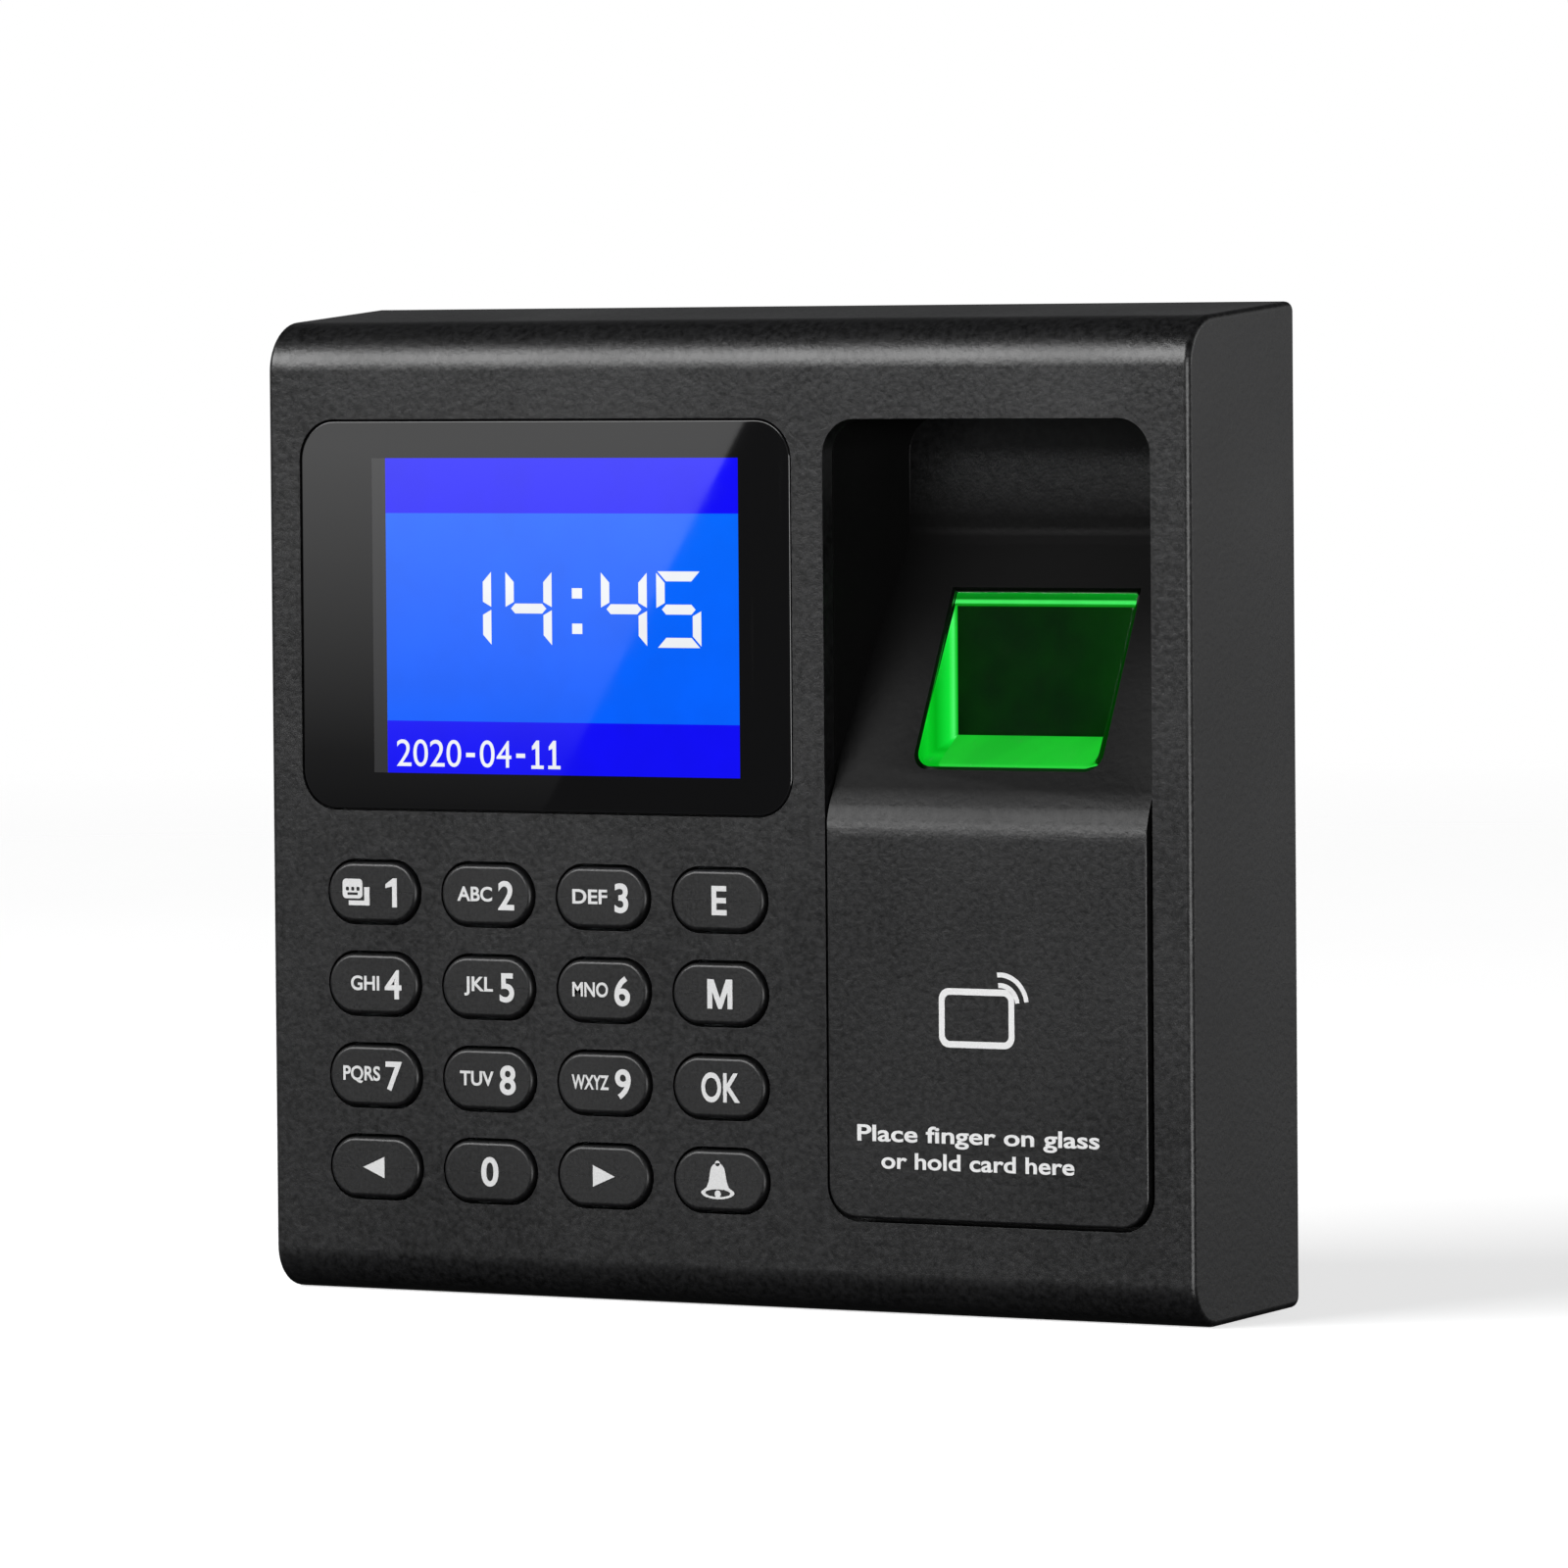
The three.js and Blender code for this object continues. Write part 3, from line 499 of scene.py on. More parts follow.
def polished(name, colour, rough=0.012):
    """A hard-coated window with a few hairline scratches and a trace of dust."""
    f = Finish(name, IOR=1.5)
    f.surface.inputs["Coat Roughness"].default_value = 0.03
    hair = f.noise(900, 2.0, 0.5, stretch=(1, 1, 0.03))
    dust = f.noise(2400, 5.0, 0.7)
    marks = f.fitted(hair, 0.66, 0.74, 0.0, 1.0) * 0.04 + f.fitted(dust, 0.68, 0.8, 0.0, 1.0) * 0.06
    base = f.between(f.fitted(dust, 0.66, 0.8, 0.0, 0.5), colour, grey(0.012))
    return f.feed(Base_Color=base, Roughness=marks + rough, Normal=f.bump(f.noise(60), 0.004, 0.02))


def lit(name, low, high, strength, rough=0.012, low_z=0.0, high_z=1.0, glossy=0.5):
    """A lit panel behind the window: its glow runs from one colour to another up the panel."""
    f = Finish(name, IOR=1.5, Emission_Strength=strength, Specular_IOR_Level=glossy)
    height = f.fitted(f.axis(2), low_z * MM, high_z * MM, 0.0, 1.0)
    shimmer = f.noise(180, 2.0, 0.5)
    glow = f.between(height, low, high)
    uneven = f.between(f.fitted(shimmer, 0.3, 0.7, 0.0, 0.07), glow, grey(0.0))
    dull = f.fitted(shimmer, 0.3, 0.7, rough, rough + 0.01)
    return f.feed(Base_Color=grey(0.002), Emission_Color=uneven, Roughness=dull)


def metal(name, shade, rough, stretch=(1, 1, 0.02), tint=0.03, grain=900):
    f = Finish(name, Metallic=1.0)
    brushed = f.noise(grain, 4.0, 0.6, stretch)
    stain = f.noise(70, 3.0, 0.6)
    edge = f.edges(0.3)
    colour = f.between(f.fitted(stain, 0.3, 0.7, 0.0, 0.6), grey(shade, tint), grey(shade * 0.78, tint))
    worn = f.between(edge * 0.5, colour, grey(min(1.0, shade * 1.3), tint))
    dull = f.fitted(brushed, 0.3, 0.7, rough - 0.07, rough + 0.09) + f.fitted(stain, 0.3, 0.7, 0.0, 0.06)
    return f.feed(Base_Color=worn, Roughness=dull, Normal=f.bump(brushed, 0.25, 0.01))


def circuit_board(name, mask, copper_tone):
    """Solder mask over tracks that show as slightly raised, paler lines."""
    f = Finish(name, IOR=1.5)
    cells = f.node(
        "ShaderNodeTexVoronoi",
        {"feature": "DISTANCE_TO_EDGE", "distance": "EUCLIDEAN"},
        {"Vector": f.place, "Scale": 420.0, "Randomness": 0.35},
    )
    track = f.fitted(cells, 0.05, 0.09, 1.0, 0.0)
    pads = f.fitted(f.spots(760.0), 0.16, 0.2, 1.0, 0.0)
    colour = f.between(track, mask, [c * 1.9 for c in mask[:3]] + [1.0])
    dotted = f.between(pads * 0.8, colour, copper_tone)
    blur = f.noise(700)
    return f.feed(
        Base_Color=dotted,
        Roughness=f.fitted(blur, 0.3, 0.7, 0.28, 0.42),
        Normal=f.bump(track + pads, 0.5, 0.03),
    )


def plain_moulding(name, colour, rough, grain=1500, clear=0.0):
    f = Finish(name, IOR=1.46, Transmission_Weight=clear)
    fine = f.noise(grain, 3.0, 0.55)
    edge = f.edges(0.3) * 0.35
    pale = [min(1.0, c * 1.4 + 0.01) for c in colour[:3]] + [1.0]
    deep = [c * 0.82 for c in colour[:3]] + [1.0]
    body = f.between(f.fitted(fine, 0.3, 0.7, 0.0, 1.0), deep, colour)
    return f.feed(
        Base_Color=f.between(edge, body, pale),
        Roughness=f.fitted(fine, 0.3, 0.7, rough - 0.06, rough + 0.06),
        Normal=f.bump(fine, 0.4, 0.008),
    )


satin_case = moulded("satin_black_case", 0.0065, 0.36)
# this finish carries painted shade in the finger recess
satin_panel = moulded("satin_black_panel", 0.0065, 0.36, recess=True)
satin_key = moulded("satin_key_plastic", 0.006, 0.4, grain=2600, relief=0.014, wear=0.35)
white_ink = printed("white_key_ink", 0.7)
panel_ink = printed("white_panel_ink", 0.8)
window_black = polished("window_black", (0.0055, 0.0055, 0.0058, 1.0))
unlit_strip = polished("unlit_display_strip", (0.03, 0.03, 0.031, 1.0), 0.03)
deep_blue = lit(
    "display_deep_blue", (0.004, 0.003, 0.93, 1.0), (0.004, 0.002, 0.96, 1.0), 1.0, low_z=5, high_z=41
)
azure = lit("display_azure", (0.0, 0.118, 1.0, 1.0), (0.0, 0.14, 1.0, 1.0), 1.0, low_z=11, high_z=35)
display_white = lit("display_white", (0.95, 0.97, 1.0, 1.0), (0.95, 0.97, 1.0, 1.0), 0.95)
bracket_zinc = metal("zinc_plated_bracket", 0.58, 0.34)
screw_zinc = metal("screw_steel", 0.36, 0.3, stretch=(1, 1, 1))
black_moulding = plain_moulding("black_moulding", (0.012, 0.012, 0.013, 1.0), 0.5)
green_board = circuit_board("green_circuit_board", (0.006, 0.07, 0.022, 1.0), (0.62, 0.5, 0.32, 1.0))

SLOT_FINISHES = {
    "case_plastic": satin_case,
    "key_plastic": satin_key,
    "window_gloss": window_black,
    "foam_tape": plain_moulding("foam_tape", (0.012, 0.012, 0.012, 1.0), 0.85),
    "lcd_blue": azure,
    "white_plastic": plain_moulding("white_moulding", (0.72, 0.72, 0.7, 1.0), 0.45),
    "ribbon_amber": plain_moulding("amber_film", (0.42, 0.15, 0.02, 1.0), 0.3),
    "mat_silicone": plain_moulding("grey_silicone", (0.15, 0.16, 0.17, 1.0), 0.6),
    "prism_green": plain_moulding("green_glass", (0.01, 0.3, 0.03, 1.0), 0.1),
    "black_plastic": black_moulding,
    "chip_black": plain_moulding("chip_epoxy", (0.014, 0.014, 0.015, 1.0), 0.55),
    "board_green": green_board,
    "relay_blue": plain_moulding("relay_blue", (0.012, 0.075, 0.33, 1.0), 0.4),
    "terminal_green": plain_moulding("terminal_green", (0.012, 0.22, 0.045, 1.0), 0.45),
    "battery_steel": metal("battery_can", 0.6, 0.28),
    "cream_plastic": plain_moulding("cream_moulding", (0.66, 0.6, 0.46, 1.0), 0.5),
    "antenna_copper": metal("coil_copper", 0.5, 0.35, tint=-0.6),
    "bracket_steel": bracket_zinc,
    "screw_steel": screw_zinc,
}


def dress(obj, material):
    obj.data.materials.clear()
    obj.data.materials.append(material)


def mount(obj, material, body=BODY, stands_for=()):
    """Gives a finished piece its finish, its body and the CAD solids that it stands for."""
    dress(obj, material)
    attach(obj, body)
    if stands_for:
        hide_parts(*stands_for)
    return obj


# ---- Camera, light and floor ----
AZIMUTH, ELEVATION, ROLL = math.radians(32.05), math.radians(2.31), math.radians(-0.46)
CAMERA_DISTANCE = 1.2716
AIM = (0.00739, 0.00422)  # the lens points this far right of and above the middle of the front
ROOM_FRONT, ROOM_BACK = 0.2, 0.18  # how bright the room is in front of and behind the terminal


def place_camera():
    back = Vector(
        (
            math.sin(AZIMUTH) * math.cos(ELEVATION),
            -math.cos(AZIMUTH) * math.cos(ELEVATION),
            math.sin(ELEVATION),
        )
    )
    level = Vector((math.cos(AZIMUTH), math.sin(AZIMUTH), 0))
    upward = back.cross(level)
    right = math.cos(ROLL) * level + math.sin(ROLL) * upward
    up = math.cos(ROLL) * upward - math.sin(ROLL) * level
    lens = bpy.data.cameras.new("camera")
    lens.lens = 254.36
    lens.sensor_width = 36
    lens.clip_end = 50
    camera = bpy.data.objects.new("camera", lens)
    bpy.context.scene.collection.objects.link(camera)
    spot = at(0, 0, 0) + back * CAMERA_DISTANCE + right * AIM[0] + up * AIM[1]
    camera.matrix_world = Matrix.Translation(spot) @ Matrix((right, up, back)).transposed().to_4x4()
    bpy.context.scene.camera = camera
    return camera


def softbox(name, place, size, power, towards=(0, 0, 0)):
    lamp = bpy.data.lights.new(name, "AREA")
    lamp.shape = "RECTANGLE"
    lamp.size, lamp.size_y = size
    lamp.energy = power
    obj = bpy.data.objects.new(name, lamp)
    bpy.context.scene.collection.objects.link(obj)
    obj.location = place
    obj.rotation_euler = (Vector(towards) - Vector(place)).to_track_quat("-Z", "Y").to_euler()
    return obj


def light_studio():
    scene = bpy.context.scene
    scene.view_settings.view_transform = "Standard"
    world = bpy.data.worlds.new("studio")
    scene.world = world
    world.use_nodes = True
    tree = world.node_tree
    tree.nodes.clear()

    def graded(value, *limits):
        grade = tree.nodes.new("ShaderNodeMapRange")
        grade.interpolation_type = "SMOOTHSTEP"
        tree.links.new(value, grade.inputs[0])
        for socket, limit in zip(list(grade.inputs)[1:5], limits):
            socket.default_value = limit
        return grade.outputs[0]

    def product(first, second):
        times = tree.nodes.new("ShaderNodeMath")
        times.operation = "MULTIPLY"
        tree.links.new(first, times.inputs[0])
        tree.links.new(second, times.inputs[1])
        return times.outputs[0]

    way = tree.nodes.new("ShaderNodeSeparateXYZ")
    tree.links.new(tree.nodes.new("ShaderNodeTexCoord").outputs["Generated"], way.inputs[0])
    in_front = graded(way.outputs["Y"], 0.25, -0.5, ROOM_BACK, ROOM_FRONT)
    over_floor = graded(way.outputs["Z"], -0.45, -0.02, 0.08, 1.0)
    under_sky = graded(way.outputs["Z"], 0.15, 0.7, 1.0, 0.12)
    seen = tree.nodes.new("ShaderNodeBackground")
    seen.inputs["Color"].default_value = (1, 1, 1, 1)
    fill = tree.nodes.new("ShaderNodeBackground")
    fill.inputs["Color"].default_value = (0.97, 0.98, 1.0, 1)
    tree.links.new(product(product(in_front, over_floor), under_sky), fill.inputs["Strength"])
    ray = tree.nodes.new("ShaderNodeLightPath")
    mix = tree.nodes.new("ShaderNodeMixShader")
    output = tree.nodes.new("ShaderNodeOutputWorld")
    tree.links.new(ray.outputs["Is Camera Ray"], mix.inputs[0])
    tree.links.new(fill.outputs[0], mix.inputs[1])
    tree.links.new(seen.outputs[0], mix.inputs[2])
    tree.links.new(mix.outputs[0], output.inputs[0])
    softbox("front_softbox", (-0.91, -1.46, 0.86), (1.7, 0.85), 43)
    softbox("right_softbox", (1.8, -1.7, -0.15), (1.6, 1.1), 42)
    softbox("back_right_softbox", (1.6, 1.8, 0.5), (1.8, 1.6), 5)
    softbox("rear_softbox", (2.2, 1.15, 0.55), (0.9, 1.3), 9)


def lay_floor():
    deselect()
    bpy.ops.mesh.primitive_plane_add(size=8, location=(0, 0, CASE[0].z - 0.00005))
    floor = bpy.context.object
    floor.name = "floor"
    f = Finish("pale_floor", Roughness=0.9, Specular_IOR_Level=0.0, Emission_Strength=0.68)
    cloud = f.noise(3.0)
    far = f.node("ShaderNodeVectorMath", {"operation": "LENGTH"}, [f.place], result=1)
    f.feed(
        Base_Color=f.between(f.fitted(cloud, 0.3, 0.7, 0.0, 1.0), grey(0.8), grey(0.84)),
        Emission_Color=f.between(f.fitted(cloud, 0.3, 0.7, 0.0, 1.0), grey(0.98), grey(1.0)),
        Alpha=f.fitted(far, 0.3, 1.6, 1.0, 0.0),
    )
    dress(floor, f.material)
    floor.visible_glossy = False
    floor.visible_diffuse = False


def stand_reflector(camera):
    """A tall card far to the front left, whose slanted edge shows in the window."""
    behind = camera.matrix_world.translation.copy()
    behind.y = 2 * FRONT * MM - behind.y  # the camera as the window mirrors it
    reach = 1 + 3.0 / CAMERA_DISTANCE
    corners = [(-75, -4), (-27.1, -4), (7.6, 52), (-75, 52)]
    deselect()
    bpy.ops.mesh.primitive_plane_add(size=1)
    card = bpy.context.object
    card.name = "reflector"
    order = [(-0.5, -0.5), (0.5, -0.5), (0.5, 0.5), (-0.5, 0.5)]
    for vertex in card.data.vertices:
        x, z = corners[order.index((round(vertex.co.x, 1), round(vertex.co.y, 1)))]
        vertex.co = behind + (at(x, 0, z) - behind) * reach
    heights = [vertex.co.z for vertex in card.data.vertices]
    f = Finish("reflector_glow", Roughness=1.0, Specular_IOR_Level=0.0, Emission_Strength=1.72)
    level = f.fitted(f.axis(2), min(heights), max(heights), 0.0, 1.0)
    glow = f.ramp(level, [(0.08, grey(0.03)), (0.2, grey(0.1)), (0.52, grey(0.55)), (0.84, grey(1.0))])
    f.feed(Base_Color=grey(0.0), Emission_Color=glow)
    dress(card, f.material)
    deselect()
    bpy.ops.mesh.primitive_plane_add(size=1)
    flag = bpy.context.object
    flag.name = "black_flag"
    for vertex in flag.data.vertices:
        x, z = (-90 if vertex.co.x < 0 else 30), (-30 if vertex.co.y < 0 else 66)
        vertex.co = behind + (at(x, 0, z) - behind) * (reach + 0.05)
    dress(flag, plain_moulding("black_cloth", (0.001, 0.001, 0.001, 1.0), 1.0))
    for screen in (card, flag):
        screen.visible_camera = False
        screen.visible_diffuse = False
        screen.visible_shadow = False
        screen.visible_transmission = False


# ---- Front case ----
def key_place(node):
    low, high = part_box(node)
    return (low.x + high.x) / 2 / MM, (low.z + high.z) / 2 / MM


KEYS = [n for n in frame["nodes"] if n.startswith("key_")]


def sloped_block(name, x, depth, z):
    """A block with the case's sloping top and underside. z holds the two heights of its tallest faces."""
    obj = block(name, x, depth, z)
    run = (depth[1] - depth[0]) * MM
    choose(obj, "VERT", lambda c, way: c.z > 0 and abs(c.y - depth[0]) < 0.1)
    bpy.ops.transform.translate(value=(0, 0, -run * TOP_SLOPE))
    done()
    choose(obj, "VERT", lambda c, way: c.z < 0 and abs(c.y - depth[1]) < 0.1)
    bpy.ops.transform.translate(value=(0, 0, run * BOTTOM_SLOPE))
    done()
    return obj


def build_case():
    case = sloped_block("front_case_moulding", (-HALF_WIDTH, HALF_WIDTH), (0, CASE_DEPTH), (BOTTOM, TOP))
    round_edges(case, 5.36, 14, lambda c, way: abs(way.x) > 0.9 and c.z > 0 and c.y < 1)
    round_edges(case, 5.26, 14, lambda c, way: abs(way.x) > 0.9 and c.z < 0 and c.y < 1)
    round_edges(case, 1.2, 5, lambda c, way: abs(way.x) > 0.9 and c.y > CASE_DEPTH - 0.01)
    round_edges(case, 0.8, 6, lambda c, way: abs(abs(c.x) - HALF_WIDTH) < 0.01 and abs(way.x) < 0.1)
    past = CASE_DEPTH + 3
    hollow = sloped_block(
        "hollow",
        (WALL - HALF_WIDTH, HALF_WIDTH - WALL),
        (WALL, past),
        (BOTTOM + WALL * (1 + BOTTOM_SLOPE), TOP + 3 * TOP_SLOPE - WALL),
    )
    round_edges(hollow, 3.5, 6, lambda c, way: abs(way.x) > 0.9 and abs(c.y - WALL) < 0.1)
    ledge = block("ledge", (-59.5, 11.5), (WALL - 0.3, 3.6), (-1.2, 47.8))
    combine(case, [hollow])
    combine(case, [ledge], "UNION")
    for x, z in CASE_POSTS:
        combine(case, [tube("post", x, z, 3.0, WALL - 0.3, 21)], "UNION")
    combine(case, [tube("bore", x, z, 1.55, 11, 22) for x, z in CASE_POSTS])
    hole = rounded_block(
        "hole", (HOLE["left"], HOLE["right"]), (-3, 5), (HOLE["low"], HOLE["high"]), HOLE["round"], 12
    )
    pocket = rounded_block(
        "pocket",
        (WINDOW["left"], WINDOW["right"]),
        (-3, 1.9),
        (WINDOW["low"], WINDOW["high"]),
        WINDOW["round"],
        12,
    )
    opening = block("opening", (-53, 5), (-3, 6), (2.8, 43.8))
    slots = []
    for key in KEYS:
        x, z = key_place(key)
        slots.append(
            rounded_block(
                "slot",
                (x - KEY_W / 2, x + KEY_W / 2),
                (-3, 6),
                (z - KEY_H / 2, z + KEY_H / 2),
                KEY_H / 2 * 0.998,
                12,
            )
        )
    combine(case, [hole, pocket, opening, *slots])
    lock = tube("lock_hole", 0, 0, 1.75, 0, 6)
    lock.rotation_euler = (math.pi / 2, 0, 0)
    tipped = Matrix.Rotation(math.pi / 2, 3, "X") @ at(0, 6, 0)
    lock.location = at(0, 19, BOTTOM - 2) - tipped
    combine(case, [settle(lock)])
    cleaned(case)
    soften(case, 0.2, 3, 40)
    return mount(case, satin_case, stands_for=["front_case"])


# ---- Finger guide panel ----
def ramp_body(name, x, low_z, skin):
    """A solid whose front is the proud face, the ridge and the ramp, all lowered by a skin."""
    front = skin - PANEL_PROUD
    body = block(name, x, (front, RECESS_DEPTH if not skin else 26), (low_z, 70))
    foot = at(0, -PANEL_PROUD + skin / math.cos(RAMP), RAMP_FOOT)
    choose(body, "FACE", lambda c, way: True)
    bpy.ops.mesh.bisect(
        plane_co=foot,
        plane_no=(0, -math.cos(RAMP), math.sin(RAMP)),
        use_fill=True,
        clear_outer=True,
    )
    done()
    return body


def build_panel():
    left, right, low, high = (HOLE[k] for k in ("left", "right", "low", "high"))
    gap = PANEL_GAP
    tangent = RIDGE * math.tan(RAMP / 2)
    profile = ramp_body("profile", (-5, 75), -70, 0)
    round_edges(
        profile, tangent, 12, lambda c, way: abs(way.x) > 0.9 and abs(c.z - RAMP_FOOT) < 1 and c.y < 0
    )
    air = block("air", (0, 70), (-6, RECESS_DEPTH), (RAMP_FOOT - tangent - 0.6, 60))
    combine(air, [profile])
    round_edges(
        air, 1.2, 6, lambda c, way: abs(way.x) > 0.9 and abs(c.y - RECESS_DEPTH) < 0.05 and c.z < 40
    )
    bowl = rounded_block(
        "bowl", (left, right), (FLANGE_FRONT, RECESS_DEPTH + 2), (-75, high), HOLE["round"], 12
    )
    shrink = 1 - 2 * RECESS_DRAFT * (RECESS_DEPTH + 2 - FLANGE_FRONT) / (right - left)
    choose(bowl, "FACE", lambda c, way: way.y > 0.9)
    bpy.ops.transform.resize(value=(shrink, 1, 0.995), center_override=at((left + right) / 2, 0, high))
    done()
    combine(bowl, [block("before", (left - 5, right + 5), (-6, FLANGE_FRONT + 0.01), (-75, 75))], "UNION")
    combine(air, [bowl], "INTERSECT")
    panel = rounded_block(
        "finger_panel_moulding",
        (left + gap, right - gap),
        (-PANEL_PROUD, FLANGE_FRONT + 0.3),
        (low + gap, high - gap),
        HOLE["round"] - gap,
        12,
    )
    round_edges(panel, 0.3, 4, lambda c, way: abs(c.y + PANEL_PROUD) < 0.01 and abs(way.y) < 0.1)
    edge = 1.4
    bucket = rounded_block(
        "bucket",
        (left - edge, right + edge),
        (FLANGE_FRONT, RECESS_DEPTH + 1.6),
        (low - edge, high + edge),
        HOLE["round"] + edge,
        12,
    )
    combine(panel, [bucket], "UNION")
    behind = ramp_body("behind", (left + 2.3, right - 2.3), low + 2.3, 1.8)
    half = (PRISM[1].x - PRISM[0].x) / 2 / MM + 0.45
    mouth = prism_block("mouth", half, 0.45, 8, 2.2)
    combine(panel, [air, behind, mouth])
    cleaned(panel)
    soften(panel, 0.12, 2, 40)
    return mount(panel, satin_panel, stands_for=["finger_panel"])


PRISM_LOW, PRISM_HIGH = 6.6, 26.25


def prism_block(name, half, grow, deep, corner, above=1.5, low=PRISM_LOW, high=PRISM_HIGH):
    """A block square to the ramp where the prism sits, its two lower corners rounded."""
    centre = (PRISM[1].x + PRISM[0].x) / 2 / MM
    low_z, high_z = low - grow * math.cos(RAMP), high + grow * math.cos(RAMP)
    length = (high_z - low_z) / math.cos(RAMP)
    obj = block(name, (centre - half, centre + half), (-above, deep), (-length / 2, length / 2))
    round_edges(obj, corner, 8, lambda c, way: abs(way.y) > 0.9 and c.z < 0)
    middle_z = (low_z + high_z) / 2
    obj.rotation_euler = (-RAMP, 0, 0)
    pivot = at(0, 0, 0)
    obj.location = (
        at(0, ramp_depth(middle_z), middle_z) - Matrix.Rotation(-RAMP, 3, "X") @ pivot
    )
    return settle(obj)


# ---- Sensor ----
def wedge(name, half, shell):
    """The prism's four-sided profile, drawn in by a shell. A negative shell runs past the touch face."""
    middle = (PRISM[1].x + PRISM[0].x) / 2 / MM
    inside = abs(shell)
    obj = block(name, (middle - half, middle + half), (2, 11.6 - inside), (PRISM_LOW, PRISM_HIGH))
    lift = 3.0 if shell else 0.0  # how far it stands proud of the touch face
    corners = {
        (True, True): (ramp_depth(PRISM_LOW) - lift, PRISM_LOW + inside * 0.9 - lift * 0.3),
        (True, False): (ramp_depth(PRISM_HIGH) - lift, PRISM_HIGH - inside * 0.6 + lift * 0.3),
        (False, True): (11.65 - inside, 9.6 + inside),
        (False, False): (11.75 - inside, 24.9 - inside * 0.6),
    }
    for (front, low), (depth, z) in corners.items():
        choose(obj, "VERT", lambda c, way: (c.y < 3) == front and (c.z < 16) == low)
        before = (2 if front else 11.6 - inside, PRISM_LOW if low else PRISM_HIGH)
        bpy.ops.transform.translate(value=(0, (depth - before[0]) * MM, (z - before[1]) * MM))
        done()
    return obj


def build_sensor():
    """The prism as its lit inner faces under a clear touch plate."""
    half = (PRISM[1].x - PRISM[0].x) / 2 / MM
    left = PRISM[0].x / MM
    tray = wedge("prism_lit_faces", half, 0)
    combine(tray, [prism_block("round", half, 0, 14, 1.9, 6)], "INTERSECT")
    hollow = wedge("hollow", half - 0.22, -0.22)
    combine(hollow, [prism_block("round", half - 0.22, -0.22, 14, 1.7, 6)], "INTERSECT")
    combine(tray, [hollow])
    cleaned(tray, 0.001)
    soften(tray, 0)
    # The inner faces' glow is painted light from the sensor's green lamp, with painted highlights and painted
    # shade.
    f = Finish("green_lamp_light", IOR=1.45, Emission_Strength=1.0, Specular_IOR_Level=0.0, Roughness=0.6)
    x, depth, z = f.axis(0) * 1000.0, f.axis(1) * 1000.0 - FRONT, f.axis(2) * 1000.0
    back = f.fitted(depth, 11.2, 11.3, 0.0, 1.0) * f.fitted(z, 24.45, 24.6, 1.0, 0.0)
    wall = f.fitted(x - (11.3 - depth) * 0.315, left + 0.3, left + 0.38, 1.0, 0.0)
    far_side = f.fitted(x, left + 2 * half - 0.5, left + 2 * half - 0.4, 0.0, 1.0)
    cloud = f.noise(260, 3.0)
    lamp = f.noise(150, 2.0, 0.5, stretch=(1, 0.2, 0.2))
    floor = f.between(f.fitted(lamp, 0.35, 0.65, 0.0, 1.0), (0.0, 0.36, 0.006, 1), (0.002, 0.52, 0.01, 1))
    # painted highlight along the lower rim of the touch face
    rim = f.fitted(z - (depth - 2.1) * 0.32, 6.62, 6.95, 1.0, 0.0)
    floor_lit = f.between(rim * 0.8, floor, (0.03, 0.7, 0.06, 1))
    patches = f.fitted(cloud, 0.35, 0.7, 0.0, 1.0)
    dark = f.between(patches, (0.0004, 0.012, 0.001, 1), (0.0006, 0.021, 0.001, 1))
    greener = f.between(f.fitted(x, left + 14, left + 23.5, 0.0, 0.55), dark, (0.0004, 0.042, 0.0006, 1))
    # painted bright bands of lamp light across the side wall
    bands = f.ramp(
        f.fitted(depth, 2.0, 11.3, 0.0, 1.0),
        [
            (0.0, (0.0, 0.42, 0.01, 1)),
            (0.3, (0.002, 0.62, 0.02, 1)),
            (0.5, (0.0, 0.45, 0.01, 1)),
            (0.82, (0.006, 0.8, 0.045, 1)),
            (0.93, (0.08, 1.0, 0.16, 1)),
            (1.0, (0.004, 0.5, 0.02, 1)),
        ],
    )
    glow = f.between(back, floor_lit, greener)
    glow = f.between(wall, glow, bands)
    # painted shade: a dim strip along the far side
    glow = f.between(far_side, glow, (0.0004, 0.035, 0.0008, 1))
    f.feed(Base_Color=grey(0.001), Emission_Color=glow)
    mount(tray, f.material, stands_for=["sensor_prism"])

    bevel = prism_block("prism_top_bevel", half - 0.12, 0, 0.6, 0, -0.3, 24.8, 26.2)
    soften(bevel, 0.05, 2)
    # The bevel's glow is painted light: a bright painted highlight band low down and a fainter line near the
    # top.
    b = Finish("green_bevel_light", IOR=1.45, Emission_Strength=1.0, Specular_IOR_Level=0.0, Roughness=0.6)
    height = b.fitted(b.axis(2) * 1000.0, 24.6, 26.2, 0.0, 1.0)
    lines = b.ramp(
        height,
        [
            (0.1, (0.004, 0.3, 0.01, 1)),
            (0.18, (0.07, 0.95, 0.15, 1)),
            (0.36, (0.06, 0.85, 0.12, 1)),
            (0.46, (0.0, 0.22, 0.006, 1)),
            (0.82, (0.0, 0.3, 0.01, 1)),
            (0.93, (0.01, 0.5, 0.04, 1)),
        ],
    )
    haze = b.fitted(b.noise(300), 0.3, 0.7, 0.0, 0.12)
    b.feed(Base_Color=grey(0.001), Emission_Color=b.between(haze, lines, grey(0.0)))
    mount(bevel, b.material)

    plate = prism_block("prism_touch_plate", half, 0, 0.25, 1.9, 0.0)
    soften(plate, 0.06, 2)
    g = Finish("clear_glass", IOR=1.2, Transmission_Weight=1.0)
    smear = g.noise(400, 4.0, 0.6)
    g.feed(
        Base_Color=g.between(smear, grey(0.97), grey(1.0)),
        Roughness=g.fitted(smear, 0.45, 0.75, 0.0, 0.05),
        Normal=g.bump(g.noise(90), 0.02, 0.01),
    )
    plate.visible_shadow = False
    mount(plate, g.material)


